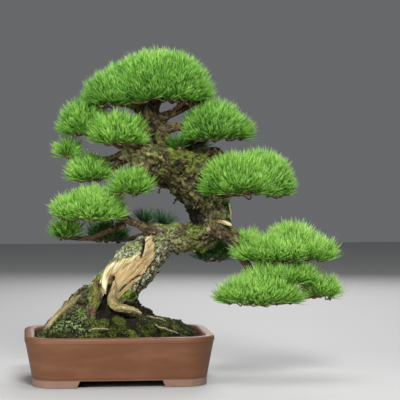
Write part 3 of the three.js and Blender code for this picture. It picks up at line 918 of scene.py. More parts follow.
@dataclass
class Pot:
    """The clay pot: a rounded rectangular bowl on four corner feet, in millimetres."""

    width: float = 400
    depth: float = 312
    corner: float = 72
    corner_segments: int = 14
    # The wall starts from a band under the rim; each step of its profile is an inset and a height.
    band: Point = (93, 99)
    outside: tuple[Point, ...] = (
        (0.7, 93), (3, 84), (9, 52), (14.5, 22), (15.2, 18.5), (17, 15.8), (22, 14),
    )
    rim: tuple[Point, ...] = (
        (0.5, 101), (1.8, 102.8), (4.5, 104), (14.5, 104.2), (18, 103.4), (20.6, 101.4), (22, 98.5),
    )
    inside: tuple[Point, ...] = ((23, 94), (26, 66), (31, 36), (38, 28), (48, 26))
    foot_inset: float = 16
    foot_band: float = 30
    foot_height: float = 14
    foot_edge: float = 1.2
    # Widths of the gaps between feet, at the pot's underside and on the ground.
    arch_front: Point = (172, 186)
    arch_side: Point = (120, 134)
    drain_offset: float = 88
    drain_radius: float = 20
    smooth_angle: float = 38

    def slab(self, name: str, inset: float, bottom: float, top: float) -> Piece:
        """A rounded rectangular slab.

        Args:
            name: The object's name.
            inset: How far it is drawn in from the pot's outline.
            bottom: Height of its underside.
            top: Height of its top.

        Returns:
            The slab, in metres in the frame.
        """
        size = np.array([self.width - 2 * inset, self.depth - 2 * inset, top - bottom]) * MM
        obj = primitive(name, "cube", spot(0, 0, (top + bottom) / 2), size, size=1)
        with Bench(obj) as bench:
            bench.pick("EDGE", lambda edge: abs(edge.verts[0].co.z - edge.verts[1].co.z) > 1e-6)
            radius = (self.corner - inset) * MM
            bpy.ops.mesh.bevel(
                offset=radius, segments=self.corner_segments, affect="EDGES", clamp_overlap=False
            )
        return obj

    def bowl(self) -> Piece:
        """The walls and floor, worked down and up from the band under the rim."""
        obj = self.slab("clay_pot", 0, *self.band)
        with Bench(obj) as bench:
            bench.pick_end(-1)
            self.follow(self.outside, self.band[0], -1)
            bench.pick_end(1)
            self.follow(self.rim + self.inside, self.band[1], 1)
        return obj

    @staticmethod
    def follow(profile: tuple[Point, ...], height: float, facing: int) -> None:
        """Insets the selected face step by step along a profile.

        Args:
            profile: Inset and height of each step.
            height: Height of the selected face.
            facing: 1 where the face looks up, -1 where it looks down.
        """
        inset = 0.0
        for next_inset, next_height in profile:
            thickness = max(next_inset - inset, 0.02)
            bpy.ops.mesh.inset(thickness=thickness * MM, depth=(next_height - height) * facing * MM)
            inset, height = next_inset, next_height

    def arch(self, widths: Point, along_x: bool) -> Piece:
        """The bar that clears the gap between two feet, along the pot or across it."""
        top, bottom = widths
        run, spread = (self.width if along_x else self.depth) + 20, bottom / top
        size = [run, top] if along_x else [top, run]
        place = spot(0, 0, self.foot_height / 2 - 1)
        obj = primitive("arch", "cube", place, np.array([*size, self.foot_height + 2]) * MM, size=1)
        with Bench(obj) as bench:
            bench.pick_end(-1)
            bpy.ops.transform.resize(value=(1, spread, 1) if along_x else (spread, 1, 1))
        return obj

    def feet(self) -> Piece:
        """The four corner feet."""
        obj = self.slab("feet", self.foot_inset, 0, self.foot_height + 6)
        cut(obj, self.slab("inner", self.foot_inset + self.foot_band, -1, self.foot_height))
        cut(obj, self.arch(self.arch_front, along_x=False))
        cut(obj, self.arch(self.arch_side, along_x=True))
        width = self.foot_edge * MM
        apply_modifier(obj, "BEVEL", width=width, segments=2, limit_method="ANGLE", angle_limit=0.6)
        return obj

    def build(self, clay: Material) -> Piece:
        """Makes the pot and dresses it."""
        obj = self.bowl()
        cut(obj, self.feet(), "UNION")
        for side in (-1, 1):
            place, radius = spot(side * self.drain_offset, 0, 20), self.drain_radius * MM
            cut(obj, primitive("drain", "cylinder", place, vertices=40, radius=radius, depth=60 * MM))
        take(obj)
        bpy.ops.object.shade_smooth_by_angle(angle=math.radians(self.smooth_angle))
        return settle(obj, clay, "clay", "pot")


# ---- soil and moss --------------------------------------------------------------------------------------


@dataclass
class Ground:
    """The soil: a filled bowl with a mound round the trunk, in millimetres."""

    pot: Pot
    bottom: float = 32
    level: float = 95
    inset: float = 26.5
    # Centre, half sizes and top height of each mound.
    mounds: tuple[tuple[float, ...], ...] = ((5, 0, 170, 118, 140), (-58, -4, 108, 96, 160))
    mound_foot: float = 88
    voxel: float = 2.4
    lump: float = 5.0
    clump: float = 2.6
    # Half sizes in metres inside which the lumps keep their full height.
    even: Point = (0.176, 0.132)

    def dome(self, x: float, y: float, half_x: float, half_y: float, top: float) -> Piece:
        """One mound, cut off flat below the soil's level."""
        place = spot(x, y, self.mound_foot)
        scale = np.array([half_x, half_y, top - self.mound_foot]) * MM
        obj = primitive("mound", "uv_sphere", place, scale, segments=48, ring_count=24, radius=1)
        with Bench(obj) as bench:
            bench.keep_above(self.mound_foot - 6)
        return obj

    def body(self) -> Piece:
        """The soil in one smooth piece."""
        obj = self.pot.slab("soil_mound", self.inset, self.bottom, self.level)
        with Bench(obj) as bench:
            for facing, spread in ((-1, (0.96, 0.95, 1)), (1, (1.012, 1.014, 1))):
                bench.pick_end(facing)
                bpy.ops.transform.resize(value=spread)
        for mound in self.mounds:
            cut(obj, self.dome(*mound), "UNION")
        remesh(obj, self.voxel)
        return obj

    def build(self, soil: Material) -> Piece:
        """Makes the soil, works its lumps in and dresses it."""
        obj = self.body()
        points, normals = surface(obj)
        x, y, z = (points - ORIGIN).T
        top = step(z, 0.080, 0.092)
        rise = clouds(points, 0.030, 3, 3.1) * self.lump + clouds(points, 0.007, 2, 9.4) * self.clump
        inner = step(np.maximum(np.abs(x) / self.even[0], np.abs(y) / self.even[1]), 1.0, 0.93)
        points = raise_skin(obj, points, normals, rise * top * (0.35 + 0.65 * inner))
        x, y, z = (points - ORIGIN).T
        patch = step(clouds(points, 0.05, 3, 6.0), -0.05, 0.25)
        write_attributes(
            obj,
            moss=patch * top * (0.35 + 0.65 * step(-y, 0.02, 0.07)),
            frond=top * step(x, -0.060, -0.085) * step(-y, -0.02, 0.03),
        )
        return settle(obj, soil, "soil", "soil")


@dataclass
class Litter:
    """Loose grit and bark crumbs lying on the soil and the moss, in millimetres."""

    count: int = 1500
    size: Point = (0.8, 2.4)
    lift: float = 0.4
    sides: int = 5
    seed: int = 41

    def build(self, bed: list[Piece], finish: Material) -> Piece:
        """Scatters the crumbs.

        Args:
            bed: The pieces they lie on.
            finish: The crumbs' material.

        Returns:
            The crumbs as one piece.
        """
        rng = np.random.default_rng(self.seed)
        points, normals = (np.vstack(rows) for rows in zip(*map(surface, bed)))
        points = points[(normals[:, 2] > 0.45) & (points[:, 2] - ORIGIN[2] > 0.090)]
        chosen = points[rng.choice(len(points), self.count)]
        angle = np.arange(self.sides) * 2 * np.pi / self.sides
        waist = np.stack([np.cos(angle), np.sin(angle), 0 * angle], axis=1)
        gem = np.vstack([[[0, 0, 1]], waist, [[0, 0, -1]]])
        ring = np.arange(1, self.sides + 1)
        pairs = list(zip(ring, np.roll(ring, -1)))
        fan = [(0, a, b) for a, b in pairs] + [(self.sides + 1, b, a) for a, b in pairs]
        size = rng.uniform(*self.size, self.count) * MM
        stretch = rng.uniform(0.5, 1.5, (self.count, 1, 3)) * size[:, None, None]
        corners = gem[None] * rng.uniform(0.7, 1.2, (self.count, len(gem), 1)) * stretch
        crumbs = (chosen[:, None] + corners + [0, 0, self.lift * MM]).reshape(-1, 3)
        faces = (np.arange(self.count)[:, None, None] * len(gem) + np.array(fan)[None]).reshape(-1, 3)
        return settle(from_arrays("soil_litter", crumbs, faces), finish, "soil")


MOSS: dict[str, Lobe] = {
    "moss_front": Lobe(-8, -92, 88, 52, 26, 38),
    "moss_right": Lobe(66, -78, 96, 46, 30, 36),
    "moss_left": Lobe(-112, -78, 90, 44, 28, 24),
    "moss_far_right": Lobe(128, 24, 88, 32, 48, 34),
    "moss_back": Lobe(20, 92, 88, 84, 28, 34),
}
STRAY_ROOTS: dict[str, list[Station]] = {
    "stray_root_front_left": [
        (-66, -104, 116, 1.6), (-56, -110, 119, 1.8), (-46, -109, 119, 2), (-36, -114, 121, 1.8),
        (-24, -112, 118, 1),
    ],
    "stray_root_front_right": [
        (72, -104, 127, 1.4), (84, -109, 121, 1.7), (96, -106, 117, 1.8), (108, -111, 113, 1.5),
        (120, -106, 107, 1),
    ],
    "stray_root_right": [
        (62, -41, 139, 1.6), (72, -45, 138.5, 1.8), (84, -45, 135, 2), (92, -51, 132.5, 1.6),
        (100, -50, 128, 1),
    ],
}


@dataclass
class MossCushion:
    """One cushion of moss: a lumpy dome set with short shoots, in millimetres."""

    name: str
    lobe: Lobe
    lump: float = 7.0
    sink: float = 1.5
    shoots: int = 3000
    shoot_length: float = 3.4
    shoot_radius: float = 0.7
    scatter: float = 0.6

    def dome(self) -> Piece:
        """The cushion's body."""
        lobe = self.lobe
        obj = primitive(
            self.name + "_cushion", "ico_sphere", spot(lobe.x, lobe.y, lobe.z),
            np.array([lobe.half_x, lobe.half_y, lobe.height - 3]) * MM, subdivisions=6, radius=1,
        )
        with Bench(obj) as bench:
            bench.keep_above(lobe.z)
        points, normals = surface(obj)
        raise_skin(obj, points, normals, clouds(points, 0.020, 4, lobe.x) * self.lump - self.sink)
        bpy.ops.object.shade_smooth()
        return obj

    def fuzz(self, points: np.ndarray, normals: np.ndarray) -> Piece:
        """The shoots, each a slim three-sided spike on the cushion's upper skin."""
        rng = np.random.default_rng(int(abs(self.lobe.x)) + 5)
        count = self.shoots
        chosen = rng.choice(np.flatnonzero(normals[:, 2] > 0.1), count)
        root = points[chosen] + rng.normal(0, self.scatter * MM, (count, 3))
        lean = unit(normals[chosen] + rng.normal(0, 0.35, (count, 3)))
        length = rng.uniform(0.6, 1.2, count) * self.shoot_length * MM
        corners = []
        for turn in range(3):
            angle = rng.uniform(0, 0.5, count) + turn * THIRD_TURN
            around = np.stack([np.cos(angle), np.sin(angle), 0 * angle], axis=1)
            corners.append(root + self.shoot_radius * MM * around)
        spikes = np.stack([*corners, root + lean * length[:, None]], axis=1).reshape(-1, 3)
        fan = np.array([[0, 1, 3], [1, 2, 3], [2, 0, 3], [0, 2, 1]])
        faces = (np.arange(count)[:, None, None] * 4 + fan[None]).reshape(-1, 3)
        return from_arrays("fuzz", spikes, faces)

    def build(self, moss: Material) -> Piece:
        """Makes the cushion, sets it with shoots and dresses it."""
        obj = self.dome()
        fuzz = self.fuzz(*surface(obj))
        take(obj)
        fuzz.select_set(True)
        bpy.ops.object.join()
        return settle(obj, moss, "moss", self.name)


@dataclass
class StrayRoot:
    """A pale root end lying on the soil."""

    name: str
    run: list[Station]

    def build(self, wood: Material) -> Piece:
        """Makes the root and dresses it."""
        obj = tubes_object(self.name + "_wood", [planned(self.run)], 10)
        points, normals = surface(obj)
        bend = np.stack([clouds(points, 0.018, 2, shift) for shift in (1.0, 4.0, 7.0)], axis=1)
        raise_skin(obj, points + bend * 2.5 * MM, normals, clouds(points, 0.006, 2) * 0.9)
        obj.data.shade_smooth()
        return settle(obj, wood, "twig_bark", self.name)


# ---- trunk and branches ---------------------------------------------------------------------------------


@dataclass(frozen=True)
class Groove:
    """A cut, or a ridge, along a line on the trunk's front, in millimetres from the pot's middle."""

    line: tuple[Point, ...]
    half_width: Point
    depth: float

    def share(self, flat: np.ndarray) -> np.ndarray:
        """How deep in the groove each point lies: 1 on its line, 0 past its width."""
        gap, place = line_gap(flat, self.line)
        width = np.interp(place, [0, len(self.line) - 1], self.half_width)
        return step(gap / width, 1.0, 0.25)


GROOVES: tuple[Groove, ...] = (
    Groove(((52, 306), (53, 288), (49, 268)), (4, 4), 13),
    Groove(((-13, 224), (-20, 202), (-26, 178)), (5, 8), 18),
    Groove(((-24, 182), (-32, 164), (-40, 144)), (7, 11), 17),
    Groove(((49, 265), (27, 256), (4, 240)), (1.7, 1.7), 3.5),
    Groove(((75, 256), (56, 230), (23, 211), (4, 192)), (2, 2), 4.5),
    Groove(((60, 262), (40, 240), (22, 222)), (1.4, 1.4), 2.5),
)
LEG_CRACK = Groove(((3, 212), (0, 202), (-4, 188), (-5, 174)), (2, 2), 5)
PEELED = Groove(((-88, 180), (-100, 171), (-128, 149), (-151, 126)), (7, 10), -1)
WOOD_STAIN = Groove(((58, 258), (67, 284), (72, 303)), (15, 12), 4)
MOSS_SPOT = Groove(((8, 180), (26, 186)), (15, 15), -2)
BROWN_RIDGE = Groove(((-41, 222), (-48, 194), (-52, 172), (-56, 148)), (7, 8), -7)


def line_gap(flat: np.ndarray, line: tuple[Point, ...]) -> tuple[np.ndarray, np.ndarray]:
    """The distance of points from a bent line.

    Args:
        flat: N by 2.
        line: The line's points.

    Returns:
        The distances, and how far along the line the nearest place is, counted in points.
    """
    best, place = np.full(len(flat), np.inf), np.zeros(len(flat))
    for number, (start, end) in enumerate(zip(np.array(line[:-1], float), np.array(line[1:], float))):
        run = end - start
        t = np.clip((flat - start) @ run / (run @ run), 0, 1)
        gap = np.linalg.norm(flat - start - t[:, None] * run, axis=1)
        wins = gap < best
        best[wins], place[wins] = gap[wins], number + t[wins]
    return best, place


def inside_outline(flat: np.ndarray, outline: tuple[Point, ...]) -> np.ndarray:
    """Signed distance of points from a closed outline, positive inside."""
    corners = np.array(outline, float)
    inside = np.zeros(len(flat), dtype=bool)
    for (x0, z0), (x1, z1) in zip(corners, np.roll(corners, -1, axis=0)):
        spans = (z0 > flat[:, 1]) != (z1 > flat[:, 1])
        crossing = x0 + (flat[:, 1] - z0) * (x1 - x0) / (z1 - z0 if z1 != z0 else 1e-9)
        inside ^= spans & (flat[:, 0] < crossing)
    gap, _ = line_gap(flat, (*outline, outline[0]))
    return np.where(inside, gap, -gap)


@dataclass
class Bark:
    """Bark modelled into a wood body: lumps, knobs and plates that follow its limbs, in millimetres."""

    plate_size: Point = (9.0, 24.0)
    lump: Point = (34.0, 6.5)
    knob: Point = (13.0, 4.0)
    warp: float = 6.5

    def coat(
        self, points: np.ndarray, place: dict[str, np.ndarray], depth: np.ndarray
    ) -> tuple[np.ndarray, ...]:
        """Works out the bark's relief.

        Args:
            points: The surface, N by 3, in metres.
            place: Where the points lie on the limbs.
            depth: Depth of the plates at every point.

        Returns:
            Grain coordinates, rise in millimetres, painted shade in the cracks and under the knobs, and
            paleness of each plate, 0 to 1.
        """
        grain = np.stack([place["across"], place["round"], place["along"] + 0.5 * place["limb"]], axis=1)
        warp = np.stack([clouds(grain, 0.018, 3, seed) for seed in (3.3, 6.1, 8.9)], axis=1) * self.warp * MM
        size = np.array([self.plate_size[0], self.plate_size[0], self.plate_size[1]]) * MM
        edge, lift = plates((grain + warp) / size)
        crest = step(edge, 0.0, 0.16)
        plate = crest * (0.5 + 0.7 * lift) - 0.6
        lump = clouds(points, self.lump[0] * MM, 2, 4.4) * self.lump[1]
        knob = clouds(grain * [1, 1, 0.6], self.knob[0] * MM, 3, 8.2) * self.knob[1]
        share = step(place["reach"], 0.002, 0.035)
        rise = lump * share + knob * np.minimum(share * 1.6, 1) + plate * depth
        # painted shade: darker where plates meet and where knobs sink
        shade = np.clip(step(crest, 0.75, 0.1) * 0.8 + step(-knob, 1.2, 3.2) * 0.5, 0, 1)
        return grain, rise, shade, step(lift, 0.55, 0.95)


@dataclass
class TrunkSkin:
    """The trunk's surface while bark and bare wood are worked into it, in millimetres."""

    obj: Piece
    limbs: list[Limb]
    bark: Bark = field(default_factory=Bark)
    recess: float = 4.0
    lip: float = 3.5
    furrow: float = 2.0
    knots: float = 2.6
    ragged: float = 2.5
    waver: float = 3.0
    # Stations along the main stem, then at each of them: lichen, moss, pale plates, and the height of plates
    # and burls. The last value of each holds everywhere else.
    stations: Table = (0, 1, 2, 3, 4, 5, 6, 7, 8, 9, 10, 12, 14, 16, 18)
    lichen: Table = (0.3, 0.6, 0.9, 0.9, 1.0, 0.9, 0.6, 0.35, 0.12, 0.1, 0.1, 0.05, 0, 0, 0, 0.25)
    moss: Table = (1.0, 1.0, 0.9, 0.9, 0.9, 0.9, 1.0, 1.0, 1.0, 1.0, 0.9, 0.7, 0.8, 0.8, 0.6, 0.7)
    sheen: Table = (0.3, 0.4, 0.4, 0.4, 0.4, 0.4, 0.4, 0.2, 0.2, 1.0, 1.0, 0.7, 0.4, 0.7, 1.0, 0.4)
    plate: Table = (3.5, 3.0, 3.0, 3.0, 3.0, 3.0, 3.0, 3.5, 5.0, 7.0, 9.0, 9.0, 9.5, 9.5, 8.0, 4.0)
    burl: Table = (1.5, 1.5, 1.5, 1.5, 1.5, 1.5, 1.5, 2.0, 3.0, 5.0, 7.0, 7.5, 7.5, 7.0, 5.0, 1.5)
    leader_plate: float = 8.5
    # Where parts of the stem begin and are full, counted in stations.
    upper_at: Point = (8.2, 9.2)
    end_at: Point = (14.6, 15.8)
    # Where other parts begin and are full, in millimetres across and up from the pot's middle.
    root_tip_x: Point = (-100, -132)
    root_top_x: Point = (-125, -95)
    left_top_x: Point = (-58, -70)
    # Painted shade: the dark hollow low on the left of the trunk's base.
    hollow_shade_x: Point = (-44, -36)
    hollow_shade_z: Point = (178, 160)
    frond_x: Point = (-45, -75)
    frond_z: Point = (152, 136)
    # Painted light: a patch on the stem's right front, painted paler and light green.
    painted_lit_patch_x: Point = (184, 206)
    painted_lit_patch_z: Point = (322, 342)
    painted_lit_patch_top_z: Point = (425, 400)
    low_wood_z: Point = (225, 195)
    leg_moss_z: Point = (188, 172)
    leg_foot_x: Point = (-6, 12)

    def __post_init__(self) -> None:
        """Finds what each point of the surface lies on."""
        self.points, self.normals = surface(self.obj)
        self.place = nearest_on(self.limbs, self.points)
        self.flat = ((self.points - ORIGIN) / MM)[:, [0, 2]]
        self.x, self.z = self.flat.T
        limb = self.place["limb"]
        first_snag = 2 + len(ROOTS)
        first_bare = first_snag + len(DARK_SNAGS)
        self.stem, self.leader, self.main_leg = limb == 0, limb == 1, limb == first_bare
        self.body, self.bare_limb = limb < first_snag, limb >= first_bare
        self.living = ~self.bare_limb
        self.spur = ~self.body & self.living
        self.front = step(-self.normals[:, 1], 0.0, 0.35)
        self.turned = step(-self.normals[:, 1], -0.2, 0.2)

    def cloud(self, size: float, seed: float) -> np.ndarray:
        """Noise on the surface, with patches of a size in metres."""
        return clouds(self.points, size, 3, seed)

    def along(self, table: Table) -> np.ndarray:
        """The values of a table along the main stem, and its last one elsewhere."""
        return np.where(self.stem, np.interp(self.place["place"], self.stations, table[:-1]), table[-1])

    def find_wood(self) -> None:
        """Finds the bare wood: the window between its edges, the dead limbs and the peeled root."""
        ragged = self.cloud(0.008, 1.7) * self.ragged
        self.window = inside_outline(self.flat, WOOD_TOP_EDGE + WOOD_LOW_EDGE) + ragged
        bare = np.clip(step(self.window, -1.2, 1.2) * self.front * self.body + self.bare_limb, 0, 1)
        self.peeled = PEELED.share(self.flat + ragged[:, None] * 2) * self.turned * self.body
        fresh = step(self.x, *self.root_tip_x) * 0.55 + 0.35
        self.bare = np.maximum(bare, step(self.peeled + ragged * 0.25, 0.35, 0.6) * fresh)
        # the bare wood's upper lip: partly its cream wood, partly a painted highlight where it faces up
        rim_gap, _ = line_gap(self.flat, WOOD_TOP_EDGE)
        self.rim = step(rim_gap, 15, 5) * step(rim_gap, 0, 3)
        self.bend = np.stack([self.cloud(0.020, 5.1), self.cloud(0.020, 9.3)], axis=1) * self.waver

    def relief(self) -> np.ndarray:
        """Works out the rise of bark and wood, and notes the grain, the bark's painted shade in its cracks and
        between its burls, and its tint.
        """
        depth = np.where(self.leader, self.leader_plate, self.along(self.plate))
        self.grain, bark, shade, self.tint = self.bark.coat(self.points, self.place, depth)
        burl = self.cloud(0.030, 2.2) * self.along(self.burl)
        # painted shade where the burls sink
        self.shade = np.clip(shade + step(-burl, 1.0, 3.5) * 0.6, 0, 1)
        strands = clouds(self.grain * [1, 1, 0.08], 0.006, 3, 2.6) * 1.1
        wood = strands + clouds(self.grain * [1, 1, 0.12], 0.020, 2, 5.6) * self.furrow
        inset = step(self.window, 0, 4) * (self.rim * self.lip - self.recess)
        knots = self.cloud(0.015, 6.5) * self.knots * self.main_leg
        wood = np.where(self.bare_limb, wood * 1.3 + knots, wood * 0.8 + inset)
        return (bark + burl) * (1 - self.bare) + wood * self.bare

    def carve(self, rise: np.ndarray) -> None:
        """Cuts the grooves into the relief, notes the painted shade on their floors, raises the brown ridge
        and moves the surface.
        """
        self.crack = np.zeros(len(self.points))
        for groove in (*GROOVES, LEG_CRACK):
            where = self.main_leg if groove is LEG_CRACK else self.living
            bend = self.bend * (0.25 if groove.depth > 10 else 1)
            share = groove.share(self.flat + bend) * self.front * where
            rise = rise - share * groove.depth
            # painted shade: the grooves' floors are marked dark
            self.crack = np.maximum(self.crack, step(share, 0.15, 0.8) * (1 if groove.depth > 4 else 0.5))
        self.ridge = BROWN_RIDGE.share(self.flat) * self.front * self.living
        raise_skin(self.obj, self.points, self.normals, rise - self.ridge * BROWN_RIDGE.depth)

    def find_parts(self) -> None:
        """Finds the parts of the living wood that get painted light or painted shade, and where moss grows."""
        self.upper = self.stem * step(self.place["place"], *self.upper_at)
        # the stem's end: its tan flaky bark, painted paler and less shaded, partly as painted light against
        # the shade of the pads over it
        self.end = self.stem * step(self.place["place"], *self.end_at)
        # painted light: a patch on the stem's right front, painted paler
        lit = step(self.x, *self.painted_lit_patch_x) * step(self.z, *self.painted_lit_patch_z) * step(self.z, *self.painted_lit_patch_top_z)
        self.painted_lit_patch = self.stem * lit * self.front
        # earth: painted shade in the dark hollow low on the left, which also keeps lichen off
        self.earth = step(self.z, *self.hollow_shade_z) * step(self.x, *self.hollow_shade_x) * self.living
        self.moss_spot = MOSS_SPOT.share(self.flat) * self.front
        self.patch = step(self.cloud(0.028, 7.7), -0.2, 0.25)

    def darkness(self) -> np.ndarray:
        """How dark the bark and wood are painted: painted shade in the cracks, under the burls, in the dark
        hollow low on the left and on the left-facing sides of the upper stem, less of it on the lit patch and
        the stem's end, and darker patches on the leader, the snags and the left roots.
        """
        # painted shade on the left-facing sides of the upper stem
        shaded = self.upper * step(-self.normals[:, 0], 0.1, 0.8) * (1 - self.end)
        crack = np.maximum(np.where(self.spur, 0.75, self.crack), 0.9 * shaded) * (1 - 0.7 * self.painted_lit_patch)
        leader = self.leader * step(self.cloud(0.02, 1.1), -0.2, 0.3)
        left_top = step(self.x, *self.left_top_x) * (0.35 + 0.65 * self.patch) * (1 - self.peeled)
        for share in (leader * 0.6, self.earth * 0.8, left_top * 0.7):
            crack = np.maximum(crack, share)
        shade = self.shade * (1 - 0.5 * self.end) * (1 - 0.45 * self.painted_lit_patch)
        return shade * (1 - self.bare) + crack * (1 - self.moss_spot * self.living)

    def mossiness(self) -> np.ndarray:
        """How much moss grows on the bark."""
        up = step(self.normals[:, 2], -0.2, 0.6)
        edge = step(np.abs(self.place["round"]) / np.maximum(self.place["reach"], 1e-6), 0.72, 0.95)
        share = np.clip(self.patch * (0.45 + 0.65 * up) + edge * (0.35 + 0.5 * self.patch), 0, 1)
        return np.maximum(self.along(self.moss) * share * (1 - 0.6 * self.end), self.moss_spot)

    def paleness(self) -> np.ndarray:
        """How pale the plates of the bark are, with painted light on the right-facing sides of the upper stem,
        painted shade on their left-facing sides, the stem's end partly painted light, and the lit patch
        painted paler.
        """
        # painted light and shade: right-facing sides of the upper stem paler, left-facing sides darker
        lit = 1 + self.upper * (step(self.normals[:, 0], -0.4, 0.6) * 1.1 - 0.6)
        plate = np.clip(self.tint * 1.3, 0, 1) * self.along(self.sheen) * lit
        return plate + 0.8 * self.end + 0.9 * self.painted_lit_patch

    def wear(self) -> np.ndarray:
        """How worn and grey the bare wood is, and how much darker it is low down, below about 200 mm."""
        flecks = step(clouds(self.grain * [1, 1, 0.3], 0.007, 3, 4.9), -0.1, 0.35)
        stain = WOOD_STAIN.share(self.flat + self.bend) * self.front * self.living * self.bare
        low = step(self.z, *self.low_wood_z) * 0.42 * self.living
        worn = self.main_leg * (0.42 + 0.55 * flecks) + stain * (0.35 + 0.5 * flecks) + low
        return worn + self.peeled * (0.25 + 0.5 * step(self.x, *self.root_top_x)) * flecks

    def paint(self) -> None:
        """Stores what the bark's material reads."""
        bark = 1 - self.bare
        leg_moss = step(self.cloud(0.009, 2.9), 0.12, 0.35) * step(self.z, *self.leg_moss_z) * self.main_leg
        leg_tan = 0.55 * self.main_leg * (1 - step(self.x, *self.leg_foot_x))
        lichen = np.where(self.leader | self.spur, 0, self.along(self.lichen)) * (1 - self.moss_spot)
        low = step(self.z, *self.frond_z) * step(self.x, *self.frond_x) * self.turned
        shares = {
            "dead": self.bare * (1 - 0.8 * leg_moss),
            "tint": self.paleness(),
            # frond: moss fronds low on the left, plus light green as painted light on the lit patch and the
            # stem's end
            "frond": (self.body & ~self.leader) * low + self.painted_lit_patch * 0.75 + self.end * 0.5,
            # pale: cream on the dead limbs, and on the upper lip partly a painted highlight
            "pale": np.where(self.bare_limb, 1 - leg_tan, self.rim * 1.4 + self.peeled),
            "worn": self.wear(),
            "red": self.ridge * 1.2 + self.peeled * 0.7,
            # painted shade in the cracks, hollows and shaded sides, and darker patches
            "cavity": self.darkness(),
            "moss": np.maximum(self.mossiness() * bark, leg_moss),
            "lichen": lichen * (1 - self.earth) * (1 - np.clip(self.ridge * 1.5, 0, 1)) * bark,
        }
        limited = {name: np.clip(share, 0, 1) for name, share in shares.items()}
        write_attributes(self.obj, grain=self.grain, **limited)


@dataclass
class Trunk:
    """The trunk with its roots, dead wood and snags: one body with bark and wood modelled into it."""

    voxel: float = 2.1
    sides: int = 28

    def build(self, finish: Material) -> Piece:
        """Makes the trunk and dresses it."""
        limbs = [planned(run) for run in (TRUNK, LEADER, *ROOTS, *DARK_SNAGS, *DEAD_LEGS, *PALE_SNAGS)]
        obj = tubes_object("trunk_wood", limbs, self.sides)
        remesh(obj, self.voxel)
        skin = TrunkSkin(obj, limbs)
        skin.find_wood()
        skin.carve(skin.relief())
        skin.find_parts()
        skin.paint()
        return settle(obj, finish, "bark", "trunk")


@dataclass
class Branch:
    """A branch and its forks, with knobby bark, in millimetres."""

    name: str
    runs: list[list[Station]]
    bark: Bark = field(default_factory=lambda: Bark((7.0, 13.0), (26.0, 5.0), (9.0, 2.2)))
    voxel: float = 1.6
    depth: float = 4.2
    sides: int = 12
    samples: int = 10

    def build(self, finish: Material) -> Piece:
        """Makes the branch and dresses it."""
        limbs = [planned(run, self.samples) for run in self.runs]
        obj = tubes_object(self.name + "_wood", limbs, self.sides)
        remesh(obj, self.voxel)
        points, normals = surface(obj)
        place = nearest_on(limbs, points)
        thick = step(place["reach"], 0.002, 0.014)
        grain, rise, shade, tint = self.bark.coat(points, place, self.depth * (0.3 + 0.7 * thick))
        raise_skin(obj, points, normals, rise * (0.4 + 0.6 * thick))
        patch = step(clouds(points, 0.025, 2, 7.7), -0.1, 0.3) * step(normals[:, 2], -0.2, 0.6)
        hollow = step(clouds(points, 0.012, 3, 6.6), 0.0, 0.4)
        # painted shade in the branch bark's cracks, with darker random patches
        write_attributes(
            obj, grain=grain, red=0.75 - 0.45 * thick, cavity=np.clip(shade * 0.9 + 0.55 * hollow, 0, 1),
            tint=tint * 0.5, moss=patch * 0.6 * thick, lichen=0.12 * thick,
        )
        return settle(obj, finish, "twig_bark", self.name)


# ---- needle pads ----------------------------------------------------------------------------------------


@dataclass
class Shoots:
    """Where the shoots of a pad end, which way they point and how bright they are."""

    tips: np.ndarray
    axes: np.ndarray
    tone: np.ndarray


